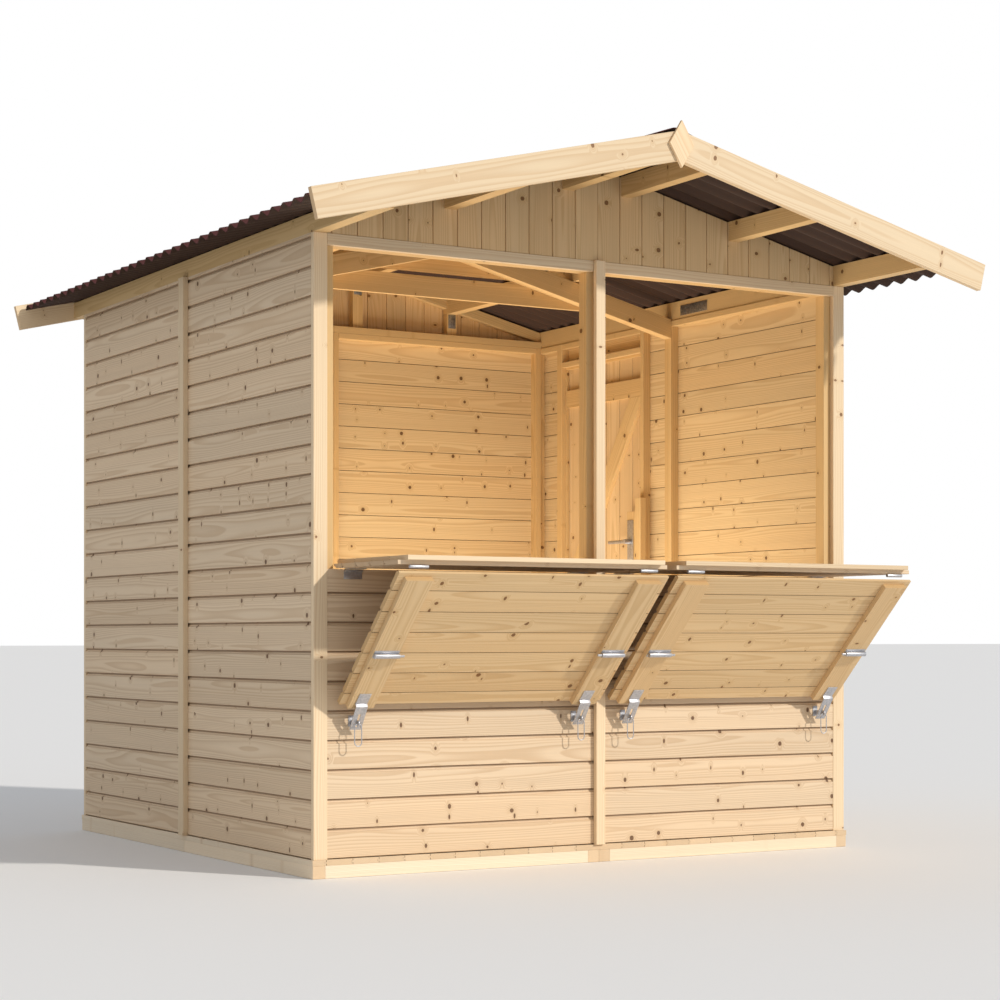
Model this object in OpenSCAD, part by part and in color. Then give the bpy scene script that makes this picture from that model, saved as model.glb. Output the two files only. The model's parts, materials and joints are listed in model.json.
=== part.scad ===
// Wooden market hut with a gabled corrugated roof, two folding serving hatches and a side door.
// Frame: +Z up, X along the serving front, the front looks towards -Y.
// Origin: centre of the walls' plan, on the underside of the base.

/* [Body] */
// Width over the side walls
body_w = 2060; // [1800:10:2600]
// Depth over the front and back walls
body_d = 2000; // [1800:10:2600]
// Height of the wall panels over the floor
wall_h = 1905; // [1700:5:2300]
// Thickness of the cladding boards
clad_t = 16; // [12:1:22]
// Depth of the side walls' studs
side_stud_d = 33; // [28:1:45]
// Depth of the front and back walls' studs
end_stud_d = 45; // [33:1:60]
// Width of a stud's edge
stud_w = 22; // [18:1:45]

/* [Base] */
// Height of the bearers
bearer_h = 40; // [30:1:70]
// Width of the bearers
bearer_w = 42; // [30:1:60]
// Thickness of the floor boards
floor_t = 17; // [14:1:28]
// How far the base stands out past the walls
base_over = 5; // [0:1:20]

/* [Trims] */
// Width of the corner trims
corner_w = 47; // [35:1:70]
// Thickness of the trims and cover battens
trim_t = 18; // [12:1:25]
// Width of the cover batten between the two hatches
centre_batten_w = 35; // [25:1:50]
// Width of the cover battens on the other walls
wall_batten_w = 45; // [30:1:60]
// Height of the header trims over the hatches
header_h = 35; // [25:1:60]

/* [Roof] */
// Pitch of the roof in degrees
pitch = 13.6; // [8:0.1:25]
// Rise of the sheets' underside over the wall panels, at the outer face
eave_rise = 60; // [52:1:80]
// Overhang of the sheets past the side walls
eave_over = 190; // [100:5:300]
// Overhang of the front bargeboards past the front wall
front_over = 462; // [250:2:600]
// Overhang of the rear bargeboards past the back wall
rear_over = 130; // [60:5:300]
// Width of a purlin
purlin_w = 45; // [35:1:60]
// Height of a purlin
purlin_h = 66; // [50:1:90]
// Distance of the middle purlins' inner faces from the ridge line
mid_purlin_x = 530; // [350:5:600]
// Distance of the ridge purlins' inner faces from the ridge line
ridge_purlin_x = 92; // [40:1:150]
// Depth of a rafter, square to its length
rafter_h = 72; // [60:1:100]
// Thickness of the rafters
rafter_t = 44; // [30:1:60]
// Height of the collar tie
tie_h = 76; // [60:1:120]
// Pitch of the corrugations
wave_pitch = 76; // [60:1:100]
// Height of the corrugations
wave_h = 18; // [12:1:30]
// Thickness of the roof sheets
sheet_t = 2.6; // [2:0.1:4]
// Reach of each wing of the ridge cap from the ridge line
cap_wing = 165; // [100:5:220]
// Pitch of the ridge cap in degrees, steeper than the roof
cap_pitch = 19.5; // [14:0.5:35]
// Width of the bargeboards
barge_w = 91; // [70:1:140]
// Thickness of the bargeboards
barge_t = 20; // [15:1:28]
// How far the bargeboards run out past the sheets' eaves
barge_over = 42; // [10:1:90]
// Height of the diamond finials
finial_h = 148; // [100:2:200]
// Width of the diamond finials
finial_w = 92; // [60:2:120]
// Thickness of the diamond finials
finial_t = 10; // [8:1:20]

/* [Hatches] */
// Height of the counters' underside over the base
counter_z = 943.5; // [850:0.5:1100]
// Width of each hatch
hatch_w = 945; // [700:1:1200]
// Distance between the two hatches
hatch_gap = 36; // [36:1:60]
// How far an open counter's boarding reaches out from the wall
counter_out = 417; // [300:1:500]
// Thickness of the counters' boarding
counter_t = 13; // [10:1:18]
// Thickness of the counter tops
top_t = 14; // [10:1:20]
// How far a counter top stands in from the ends of its boarding
top_inset = 22; // [10:1:40]
// How far a counter top stands out past its boarding
top_lip = 21; // [0:1:40]
// Length of the hanging leaves
leaf_l = 553; // [400:1:600]
// Thickness of the hanging leaves
leaf_t = 16; // [12:1:22]
// Lean of the hanging leaves from the vertical, in degrees
leaf_lean = 45; // [40:1:50]
// Width of the battens on the hanging leaves
leaf_batten_w = 90; // [60:1:120]
// Gap between the counters and the hanging leaves
leaf_gap = 12; // [8:1:20]

/* [Door] */
// Clear width of the doorway
doorway_w = 580; // [500:5:750]
// Distance of the doorway's middle behind the middle of its panel
doorway_off = -11.1; // [-60:0.1:60]
// Height of the doorway's head over the floor
doorway_h = 1806; // [1500:2:1850]
// Gap around the door leaf
door_gap = 6; // [6:0.5:10]
// Thickness of the door's boards
door_t = 18; // [14:1:25]
// Thickness of the door's ledges and braces
ledge_t = 18; // [14:1:25]
// Width of the ledges
ledge_w = 72; // [60:1:120]
// Width of the braces
brace_w = 70; // [50:1:100]
// Radius of the hinge pins
pin_r = 4; // [3:0.5:6]
// Running clearance of the pins and of the lever's spindle
run_gap = 0.05; // [0.02:0.01:0.1]
// Radius of the lever's spindle
spindle_r = 5; // [4:0.5:6]
// Height of the lever over the floor
lever_z = 1058; // [900:2:1200]
// Reach of the lever from its spindle
lever_l = 118; // [90:1:140]

/* [Hidden] */
$fn = 48;

// Colours
pine = "burlywood";
pine_light = "wheat";
pine_shade = "tan";
sheet_red = [0.28, 0.12, 0.11];
steel = "silver";

// Fits
seat = 0.3;
part_gap = 0.4;

// Levels and planes
half_w = body_w / 2;
half_d = body_d / 2;
floor_z = bearer_h + floor_t;
wall_top = floor_z + wall_h;
side_in = half_w - clad_t;
side_clear = side_in - side_stud_d;
frame_y = half_d - trim_t;
end_clear = frame_y - end_stud_d;
board_face = frame_y + clad_t;

// Roof lines
slope = tan(pitch);
eave_x = half_w + eave_over;
apex_z = wall_top + eave_rise + half_w * slope;
crest = wave_h + sheet_t + seat;
barge_lift = 27;
barge_x = eave_x + barge_over;
barge_front = -half_d - front_over;
barge_back = half_d + rear_over;
sheet_y0 = barge_front + barge_t + seat;
sheet_y1 = barge_back - barge_t - seat;
eave_purlin_x = half_w - purlin_w;

// Hatch places
hatch_x0 = hatch_gap / 2;
hatch_x1 = hatch_x0 + hatch_w;
counter_y = -half_d - counter_out;
leaf_y = counter_y - leaf_t * cos(leaf_lean);
leaf_z = counter_z - leaf_gap - leaf_t * sin(leaf_lean);
batten_inset = 22;
batten_drop = 16;
batten_t = 18;
batten_xs = [hatch_x0 + batten_inset + 5, hatch_x1 - batten_inset - leaf_batten_w];

// Door places
door_y0 = (part_gap / 2 + frame_y) / 2 + doorway_off - doorway_w / 2;
door_y1 = door_y0 + doorway_w;
door_top = floor_z + doorway_h;
leaf_y0 = door_y0 + door_gap;
leaf_y1 = door_y1 - door_gap;
leaf_z0 = floor_z + door_gap;
leaf_z1 = door_top - door_gap;
leaf_x1 = half_w;
leaf_x0 = leaf_x1 - door_t;
ledge_x0 = leaf_x0 - ledge_t;
hinge_x = half_w + 8;
hinge_y = door_y1 - 2;
knuckle_r = 7;
strap_t = 3;
strap_w = 36;
sleeve_h = 38;
ledge_tops = [leaf_z1 - 92, floor_z + 900, floor_z + 170];
hinge_zs = [ledge_tops[0] - ledge_w / 2, ledge_tops[2] - ledge_w / 2];
lock_y = door_y0 + 60;
lock_z = floor_z + lever_z;
block_t = 18;
block_x0 = ledge_x0 - block_t;
plate_t = 3;

// Underside of the roof sheets at a distance from the ridge line
function sheet_z(x) = apex_z - abs(x) * slope;

// A box between two corners
module slab(low, high) {
    translate(low) cube(high - low);
}

// Both sides of the ridge line
module both_sides() {
    children();
    mirror([1, 0, 0]) children();
}

// A profile in X and Z, made solid between two Y values
module profile_y(points, y0, y1) {
    translate([0, y1, 0]) rotate([90, 0, 0]) linear_extrude(y1 - y0) polygon(points);
}

// A profile in Y and Z, made solid between two X values
module profile_x(points, x0, x1) {
    translate([x0, 0, 0]) rotate([90, 0, 90]) linear_extrude(x1 - x0) polygon(points);
}

// Places a piece on a hanging leaf: Y through its thickness, -Z down its smooth face
module on_leaf() {
    translate([0, leaf_y, leaf_z]) rotate([90 - leaf_lean, 0, 0]) children();
}

/* Base */

module bearers() {
    color(pine_shade)
    both_sides()
        for (x = [part_gap / 2, half_w + base_over - bearer_w], y = [part_gap / 2, -half_d - base_over])
            slab([x, y, 0], [x + bearer_w, y + half_d + base_over - part_gap / 2, bearer_h]);
}

module base_rails() {
    x0 = part_gap / 2 + bearer_w;
    x1 = half_w + base_over - bearer_w;
    end_y = half_d + base_over;
    color(pine)
    both_sides()
        for (y = [-end_y, -part_gap / 2 - bearer_w, part_gap / 2, end_y - bearer_w])
            slab([x0, y, 0], [x1, y + bearer_w, bearer_h]);
}

module floor() {
    color(pine)
    both_sides()
        slab([part_gap / 2, -half_d - base_over - 1, bearer_h],
             [half_w + base_over + 1, half_d + base_over + 1, floor_z]);
}

/* Side walls */

// One half of a side wall's cladding
module side_panel(y0, y1) {
    slab([side_in, y0, floor_z], [half_w, y1, wall_top]);
}

module left_wall() {
    color(pine_shade)
    mirror([1, 0, 0]) {
        side_panel(-frame_y, -part_gap / 2);
        side_panel(part_gap / 2, frame_y);
    }
}

module right_wall() {
    color(pine) {
        side_panel(-frame_y, -part_gap / 2);
        side_panel(part_gap / 2, door_y0);
        side_panel(door_y1, frame_y);
        slab([side_in, door_y0 + part_gap, door_top], [half_w, door_y1 - part_gap, wall_top]);
    }
}

// A stud of a side wall, full height
module side_stud(y, w = stud_w) {
    slab([side_clear, y, floor_z], [side_in, y + w, wall_top]);
}

// The rails of a side wall between two studs
module side_rails(y0, y1) {
    for (z = [floor_z, wall_top - stud_w])
        slab([side_clear, y0 + seat, z], [side_in, y1 - seat, z + stud_w]);
}

module side_frame_half(y0, y1) {
    side_stud(y0);
    side_stud(y1 - stud_w);
    side_rails(y0 + stud_w, y1 - stud_w);
}

module left_frame() {
    color(pine)
    mirror([1, 0, 0]) {
        side_frame_half(-frame_y, -part_gap / 2);
        side_frame_half(part_gap / 2, frame_y);
    }
}

module right_frame() {
    post_w = 38;
    color(pine) {
        side_frame_half(-frame_y, -part_gap / 2);
        side_stud(part_gap / 2);
        side_stud(door_y0 - stud_w);
        side_rails(part_gap / 2 + stud_w, door_y0 - stud_w);
        side_stud(door_y1, post_w);
        side_stud(frame_y - stud_w);
        side_rails(door_y1 + post_w, frame_y - stud_w);
        for (z = [door_top, wall_top - stud_w])
            slab([side_clear, door_y0 + seat, z], [side_in, door_y1 - seat, z + stud_w]);
    }
}

/* Back wall */

module back_wall() {
    color(pine)
    both_sides()
        slab([part_gap / 2, frame_y, floor_z], [half_w - corner_w, frame_y + clad_t, wall_top]);
}

module back_frame() {
    rail_h = 28;
    color(pine)
    both_sides() {
        for (x = [part_gap / 2, side_clear - stud_w])
            slab([x, end_clear, floor_z], [x + stud_w, frame_y, wall_top]);
        for (z = [floor_z, wall_top - stud_w])
            slab([stud_w + seat + part_gap, end_clear, z],
                 [side_clear - stud_w - seat, frame_y, z + stud_w]);
        slab([part_gap / 2, end_clear, wall_top + seat],
             [eave_purlin_x - seat, frame_y - seat, wall_top + rail_h]);
    }
}

/* Serving front */

module front_wall() {
    color(pine_light)
    both_sides()
        slab([part_gap / 2, -frame_y - clad_t, floor_z],
             [half_w - corner_w, -frame_y, counter_z - 2.5]);
}

module front_frame() {
    jamb_in = 28;
    centre_w = 34;
    jamb_x = half_w - corner_w - jamb_in;
    sill_h = 28;
    color(pine)
    both_sides() {
        slab([jamb_x, -frame_y, floor_z], [side_clear, -end_clear, wall_top]);
        slab([part_gap / 2, -frame_y, floor_z], [centre_w, -end_clear, wall_top]);
        for (z = [floor_z, counter_z - 2.5 - sill_h, wall_top - header_h])
            slab([centre_w + seat, -frame_y, z], [jamb_x - seat, -end_clear, z + sill_h]);
    }
}

module corner_trims() {
    color(pine_light)
    both_sides()
        for (y = [-half_d, frame_y])
            slab([half_w - corner_w, y, floor_z], [half_w, y + trim_t, wall_top]);
}

module cover_battens() {
    w = wall_batten_w / 2;
    color(pine) {
        slab([-centre_batten_w / 2, -half_d - trim_t + 1, floor_z],
             [centre_batten_w / 2, -half_d + 1, wall_top]);
        slab([-w, frame_y + clad_t, floor_z], [w, frame_y + clad_t + trim_t, wall_top]);
        both_sides()
            slab([half_w, -w, floor_z], [half_w + trim_t, w, wall_top]);
    }
}

module header_trims() {
    color(pine_light)
    both_sides()
        slab([centre_batten_w / 2 + seat, -half_d, wall_top - header_h],
             [half_w - corner_w - seat, -frame_y, wall_top]);
}

/* Gables */

// Outline of half a gable, notched over the purlins
function gable_points(gap) = [
    [part_gap / 2, wall_top],
    [eave_purlin_x - seat, wall_top],
    [eave_purlin_x - seat, sheet_z(eave_purlin_x) - gap],
    [mid_purlin_x + purlin_w + seat, sheet_z(mid_purlin_x + purlin_w) - gap],
    [mid_purlin_x + purlin_w + seat, sheet_z(mid_purlin_x) - purlin_h - seat],
    [mid_purlin_x - seat, sheet_z(mid_purlin_x) - purlin_h - seat],
    [mid_purlin_x - seat, sheet_z(mid_purlin_x) - gap],
    [ridge_purlin_x + purlin_w + seat, sheet_z(ridge_purlin_x + purlin_w) - gap],
    [ridge_purlin_x + purlin_w + seat, sheet_z(ridge_purlin_x) - purlin_h - seat],
    [ridge_purlin_x - seat, sheet_z(ridge_purlin_x) - purlin_h - seat],
    [ridge_purlin_x - seat, sheet_z(ridge_purlin_x) - gap],
    [part_gap / 2, apex_z - gap]
];

module front_gable() {
    color(pine_shade)
    both_sides() profile_y(gable_points(2), -frame_y - clad_t, -frame_y);
}

module back_gable() {
    color(pine)
    both_sides() profile_y(gable_points(2), frame_y, frame_y + clad_t);
}

// A sloping rail along the top of a gable, between two purlins
module gable_rail(x0, x1, low, y0, y1) {
    rail_h = 42;
    gap = 2;
    foot_x = min((apex_z - gap - rail_h - low) / slope, x1 - 1);
    profile_y([
        [x0, sheet_z(x0) - gap], [x1, sheet_z(x1) - gap],
        [x1, max(low, sheet_z(x1) - gap - rail_h)],
        [foot_x, max(low, sheet_z(foot_x) - gap - rail_h)],
        [x0, sheet_z(x0) - gap - rail_h]
    ], y0, y1);
}

module gable_rails(low, y0, y1) {
    gable_rail(ridge_purlin_x + purlin_w + seat, mid_purlin_x - seat, low, y0, y1);
    gable_rail(mid_purlin_x + purlin_w + seat, eave_purlin_x - seat, low, y0, y1);
}

module gable_posts() {
    rail_h = 28;
    color(pine)
    both_sides() {
        gable_rails(wall_top + rail_h + seat, end_clear + 12, frame_y);
        gable_rails(wall_top + rail_h + seat, -frame_y, -end_clear - 12);
        for (x = [mid_purlin_x, ridge_purlin_x]) {
            top = sheet_z(x) - purlin_h - seat;
            slab([x, end_clear + 12, wall_top + rail_h], [x + purlin_w, frame_y, top]);
            slab([x, -frame_y, wall_top], [x + purlin_w, -end_clear - 12, top]);
        }
    }
}

module post_plates() {
    plate_w = 34;
    plate_h = 58;
    color(steel)
    both_sides()
        for (x = [mid_purlin_x, ridge_purlin_x]) {
            z = sheet_z(x) - purlin_h - plate_h / 2;
            y = end_clear + 12;
            x0 = x + (purlin_w - plate_w) / 2;
            slab([x0, y - 2, z - plate_h / 2], [x0 + plate_w, y, z + plate_h / 2 - 1]);
        }
}

/* Roof structure */

// Outline of one purlin: plumb sides, top cut to the roof's slope
function purlin_points(x, low) = [
    [x, low],
    [x + purlin_w, low],
    [x + purlin_w, sheet_z(x + purlin_w)],
    [x, sheet_z(x)]
];

module purlins() {
    color(pine)
    both_sides() {
        profile_y(purlin_points(eave_purlin_x, wall_top), sheet_y0 - seat, sheet_y1 + seat);
        for (x = [mid_purlin_x, ridge_purlin_x])
            profile_y(purlin_points(x, sheet_z(x) - purlin_h), sheet_y0 - seat, sheet_y1 + seat);
    }
}

module splice_plates() {
    plate_l = 172;
    plate_h = 38;
    mid_y = (barge_front + barge_back) / 2;
    xs = [eave_purlin_x, mid_purlin_x, ridge_purlin_x];
    color(steel)
    both_sides()
        for (x = xs) {
            z = sheet_z(x) - purlin_h / 2 - 6;
            slab([x - 2, mid_y - plate_l / 2, z - plate_h / 2], [x, mid_y + plate_l / 2, z + plate_h / 2]);
        }
}

rafter_drop = rafter_h / cos(pitch);
rafter_y = rafter_t / 2;
rafter_z = purlin_h + 0.1;

module rafters() {
    x1 = side_clear - seat;
    color(pine)
    both_sides()
        profile_y([
            [part_gap / 2, apex_z - rafter_z],
            [x1, sheet_z(x1) - rafter_z],
            [x1, sheet_z(x1) - rafter_z - rafter_drop],
            [part_gap / 2, apex_z - rafter_z - rafter_drop]
        ], -rafter_y, rafter_y);
}

module collar_tie() {
    tie_x = 650;
    tie_z = sheet_z(tie_x) - purlin_h - rafter_drop + 3;
    tie_top = tie_z + tie_h;
    shoulder = (apex_z - purlin_h - tie_top) / slope;
    gusset_x = 300;
    gusset_z = tie_top + 15;
    gusset_top = sheet_z(ridge_purlin_x) - purlin_h - 1;
    y0 = rafter_y;
    y1 = rafter_y + trim_t;
    color(pine) {
        profile_y([
            [-tie_x, tie_z], [tie_x, tie_z], [tie_x, sheet_z(tie_x) - purlin_h - 1],
            [min(shoulder, tie_x - 1), tie_top], [-min(shoulder, tie_x - 1), tie_top],
            [-tie_x, sheet_z(tie_x) - purlin_h - 1]
        ], y0, y1);
        profile_y([
            [-gusset_x, gusset_z], [gusset_x, gusset_z],
            [gusset_x, sheet_z(gusset_x) - purlin_h - 1],
            [ridge_purlin_x, gusset_top], [-ridge_purlin_x, gusset_top],
            [-gusset_x, sheet_z(gusset_x) - purlin_h - 1]
        ], y0, y1);
    }
}

/* Roof covering */

wave_steps = 8;
trough_y = -half_d - 8;

// Height of the sheet's underside over its troughs
function wave(y) = seat + wave_h / 2 * (1 - cos(360 * (y - trough_y) / wave_pitch));

wave_n0 = ceil((sheet_y0 - trough_y) / wave_pitch * wave_steps + 0.2);
wave_n1 = floor((sheet_y1 - trough_y) / wave_pitch * wave_steps - 0.2);
wave_ys = concat(
    [sheet_y0],
    [for (i = [wave_n0 : wave_n1]) trough_y + i * wave_pitch / wave_steps],
    [sheet_y1]
);
wave_count = len(wave_ys);
sheet_points = concat(
    [for (y = wave_ys) [y, wave(y)]],
    [for (i = [wave_count - 1 : -1 : 0]) [wave_ys[i], wave(wave_ys[i]) + sheet_t]]
);

// The right-hand slope: X runs down the slope from the ridge line
module on_slope() {
    translate([0, 0, apex_z]) rotate([0, pitch, 0]) children();
}

module roof_sheet() {
    color(sheet_red)
    on_slope() profile_x(sheet_points, 1, eave_x / cos(pitch));
}

module roof_right() {
    roof_sheet();
}

module roof_left() {
    mirror([1, 0, 0]) roof_sheet();
}

module ridge_cap() {
    low = sheet_z(cap_wing) + crest / cos(pitch) + seat;
    peak = low + cap_wing * tan(max(cap_pitch, pitch));
    color(sheet_red)
    profile_y([
        [0, peak], [cap_wing, low], [cap_wing, low + sheet_t],
        [0, peak + sheet_t], [-cap_wing, low + sheet_t], [-cap_wing, low]
    ], sheet_y0, sheet_y1);
}

// Half of a pair of bargeboards, cut square at the eave and plumb at the ridge
module bargeboard(y0) {
    top = apex_z + barge_lift;
    drop = barge_w / cos(pitch);
    tail = barge_w * sin(pitch);
    color(pine_light)
    profile_y([
        [part_gap / 2, top],
        [barge_x, top - barge_x * slope],
        [barge_x - tail, top - barge_x * slope - barge_w * cos(pitch)],
        [part_gap / 2, top - drop]
    ], y0, y0 + barge_t);
}

module bargeboards() {
    both_sides() {
        bargeboard(barge_front);
        bargeboard(barge_back - barge_t);
    }
}

module finial(y0) {
    mid_z = apex_z + barge_lift - barge_w / cos(pitch) / 2 + 3;
    profile_y([
        [0, mid_z - finial_h / 2], [finial_w / 2, mid_z],
        [0, mid_z + finial_h / 2], [-finial_w / 2, mid_z]
    ], y0, y0 + finial_t);
}

module finials() {
    color(pine_light) {
        finial(barge_front - finial_t);
        finial(barge_back);
    }
}

/* Serving hatches */

module counter_boards() {
    color(pine)
    both_sides()
        slab([hatch_x0, counter_y, counter_z], [hatch_x1, -half_d - 3, counter_z + counter_t]);
}

module counter_tops() {
    z = counter_z + counter_t;
    color(pine_light)
    both_sides()
        slab([hatch_x0 + top_inset, counter_y - top_lip, z],
             [hatch_x1 - top_inset, -frame_y - 2, z + top_t]);
}

module hatch_leaves() {
    color(pine)
    both_sides() on_leaf()
        slab([hatch_x0, 0, -leaf_l], [hatch_x1, leaf_t, 0]);
}

module hatch_battens() {
    color(pine_light)
    both_sides() on_leaf()
        for (x = batten_xs)
            slab([x, -batten_t, -leaf_l], [x + leaf_batten_w, 0, -batten_drop]);
}

hinge_l = 62;
hinge_xs = [hatch_x0 + 40, hatch_x1 - 36 - hinge_l];

module wall_hinges() {
    knuckle = 4;
    top = counter_z - 2.5;
    color(steel)
    both_sides()
        for (x = hinge_xs) {
            slab([x, -board_face - 2, top - 30], [x + hinge_l, -board_face, top - knuckle]);
            translate([x, -half_d - knuckle, top - knuckle]) rotate([0, 90, 0])
                cylinder(h = hinge_l, r = knuckle);
            slab([x, -half_d - 30, counter_z - 2], [x + hinge_l, -half_d - knuckle, counter_z]);
        }
}

module fold_hinges() {
    knuckle = leaf_gap / 2 - 0.4;
    color(steel)
    both_sides()
        for (x = hinge_xs)
            translate([x, counter_y - knuckle / 2, counter_z - knuckle - seat]) rotate([0, 90, 0])
                cylinder(h = hinge_l, r = knuckle);
}

module barrel_bolts() {
    drop = 318;
    plate_w = 84;
    plate_h = 30;
    barrel_r = 8;
    bolt_r = 4;
    tip = 16;
    face = -batten_t;
    color(steel)
    both_sides() on_leaf()
        for (i = [0, 1]) {
            x = batten_xs[i] + (leaf_batten_w - plate_w) / 2;
            tip_x = i == 0 ? x : x - tip;
            slab([x, face - 1.5, -drop - plate_h / 2], [x + plate_w, face, -drop + plate_h / 2]);
            translate([x, face - 1.5 - barrel_r + 1, -drop]) rotate([0, 90, 0])
                cylinder(h = plate_w, r = barrel_r);
            translate([tip_x, face - 1.5 - barrel_r + 1, -drop]) rotate([0, 90, 0])
                cylinder(h = plate_w + tip, r = bolt_r);
        }
}

hasp_w = 40;
hasp_t = 2.5;
hasp_z0 = -leaf_l + 65;
hasp_z1 = -leaf_l + 21;
hasp_xs = [batten_xs[0] + 31, batten_xs[1] + 31];
staple_z = leaf_z - (leaf_l + 63) * cos(leaf_lean) - 46 * sin(leaf_lean) + 20;
staple_out = 54;

module hasps() {
    face = -batten_t;
    color(steel)
    both_sides() on_leaf()
        for (x = hasp_xs)
            difference() {
                profile_x([
                    [face, hasp_z0], [face - hasp_t, hasp_z0], [face - hasp_t, hasp_z1 + 2],
                    [face - 12, hasp_z1 - 1], [face - 29.5, hasp_z1 - 84], [face - 27, hasp_z1 - 84.5],
                    [face - 9.8, hasp_z1 - 3.5], [face, hasp_z1 - 0.5]
                ], x, x + hasp_w);
                slab([x + hasp_w / 2 - 4, face - 40, hasp_z1 - 76],
                     [x + hasp_w / 2 + 4, face, hasp_z1 - 28]);
            }
}

module staples() {
    eye_r = 4.5;
    ear_t = 3;
    plate_t = 2.5;
    color(steel)
    both_sides()
        for (x = hasp_xs) {
            mid = x + hasp_w / 2;
            difference() {
                union() {
                    slab([mid - ear_t / 2, -half_d - staple_out + 8, staple_z - 8],
                         [mid + ear_t / 2, -board_face, staple_z + 14]);
                    translate([mid - ear_t / 2, -half_d - staple_out + 8, staple_z]) rotate([0, 90, 0])
                        cylinder(h = ear_t, r = 8);
                    slab([x, -board_face - plate_t, staple_z - 14], [x + hasp_w, -board_face, staple_z + 50]);
                }
                translate([mid - 5, -half_d - staple_out + 8, staple_z]) rotate([0, 90, 0])
                    cylinder(h = 10, r = eye_r);
            }
        }
}

module spring_clips() {
    wire = 1.6;
    bow = 12;
    straight = 44;
    color(steel)
    both_sides()
        for (x = hasp_xs)
            translate([x + hasp_w / 2, -half_d - staple_out + 8, staple_z - 4.5 + wire + seat - bow])
            rotate([90, 0, 0]) {
                rotate_extrude(angle = 180) translate([bow, 0]) circle(r = wire);
                translate([0, -straight, 0]) rotate([0, 0, 180])
                    rotate_extrude(angle = 180) translate([bow, 0]) circle(r = wire);
                for (side = [-bow, bow])
                    translate([side, 0, 0]) rotate([90, 0, 0]) cylinder(h = straight, r = wire);
            }
}

/* Door */

module keeper_block() {
    block_h = 325;
    block_z = floor_z + 903;
    color(pine)
    slab([side_clear - 26, door_y0 - 40, block_z], [side_clear, door_y0, block_z + block_h]);
}

// Strips that the closed door rests against
module door_stops() {
    stop_w = 10;
    stop_t = 11;
    x1 = leaf_x0 - 1;
    x0 = x1 - stop_t;
    color(pine) {
        for (y = [door_y0, door_y1 - stop_w])
            slab([x0, y, floor_z + seat], [x1, y + stop_w, door_top - stop_w - seat]);
        slab([x0, door_y0 + seat, door_top - stop_w], [x1, door_y1 - seat, door_top]);
    }
}

// The fixed half of each hinge: plate on the cladding, outer knuckles and pin
module hinge_pins() {
    knuckle_h = 13;
    plate_w = 44;
    color(steel)
    for (z = hinge_zs) {
        translate([hinge_x, hinge_y, z - sleeve_h / 2 - knuckle_h - 1])
            cylinder(h = sleeve_h + 2 * knuckle_h + 2, r = pin_r);
        for (z0 = [z - sleeve_h / 2 - knuckle_h - 0.5, z + sleeve_h / 2 + 0.5]) {
            translate([hinge_x, hinge_y, z0]) cylinder(h = knuckle_h, r = knuckle_r);
            slab([half_w, hinge_y + 4, z0], [half_w + strap_t, hinge_y + plate_w, z0 + knuckle_h]);
        }
        slab([half_w, hinge_y + 12, z - sleeve_h / 2 - knuckle_h],
             [half_w + strap_t, hinge_y + plate_w, z + sleeve_h / 2 + knuckle_h]);
    }
}

module door_boards() {
    color(pine)
    difference() {
        slab([leaf_x0, leaf_y0, leaf_z0], [leaf_x1, leaf_y1, leaf_z1]);
        translate([leaf_x0 - 1, lock_y, lock_z]) rotate([0, 90, 0])
            cylinder(h = door_t + 2, r = spindle_r + 3);
    }
}

module door_ledges() {
    edge = 10;
    block_w = 80;
    color(pine_light) {
        for (z = ledge_tops)
            slab([ledge_x0, leaf_y0 + edge, z - ledge_w], [leaf_x0, leaf_y1 - edge, z]);
        difference() {
            slab([block_x0, leaf_y0 + 6, lock_z - 110], [leaf_x0, leaf_y0 + block_w, lock_z + 120]);
            translate([block_x0 - 1, lock_y, lock_z]) rotate([0, 90, 0])
                cylinder(h = block_t + ledge_t + 2, r = spindle_r + 3);
        }
    }
}

// One brace from a low corner on the hinge side to a high corner on the lock side
module brace(low, high) {
    foot = brace_w * 1.1;
    profile_x([
        [leaf_y1 - 8 - foot, low], [leaf_y1 - 8, low],
        [leaf_y1 - 8, low + 20], [leaf_y0 + 8 + foot, high],
        [leaf_y0 + 8, high], [leaf_y0 + 8, high - 20]
    ], ledge_x0, leaf_x0);
}

module door_braces() {
    color(pine_light) {
        brace(ledge_tops[1] + seat, ledge_tops[0] - ledge_w - seat);
        brace(ledge_tops[2] + seat, ledge_tops[1] - ledge_w - seat);
    }
}

module door_straps() {
    strap_l = 300;
    bore_r = pin_r + run_gap;
    color(steel)
    for (z = hinge_zs)
        difference() {
            union() {
                translate([hinge_x, hinge_y, z - sleeve_h / 2]) cylinder(h = sleeve_h, r = knuckle_r);
                slab([half_w, hinge_y - strap_l, z - strap_w / 2],
                     [half_w + strap_t, hinge_y, z + strap_w / 2]);
            }
            translate([hinge_x, hinge_y, z - sleeve_h]) cylinder(h = sleeve_h * 2, r = bore_r);
        }
}

module lock_plates() {
    plate_w = 40;
    plate_h = 170;
    color(steel)
    for (x = [block_x0 - plate_t, leaf_x1])
        difference() {
            slab([x, lock_y - plate_w / 2, lock_z - plate_h / 2],
                 [x + plate_t, lock_y + plate_w / 2, lock_z + plate_h / 2]);
            translate([x - 1, lock_y, lock_z]) rotate([0, 90, 0])
                cylinder(h = plate_t + 2, r = spindle_r + run_gap);
        }
}

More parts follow.
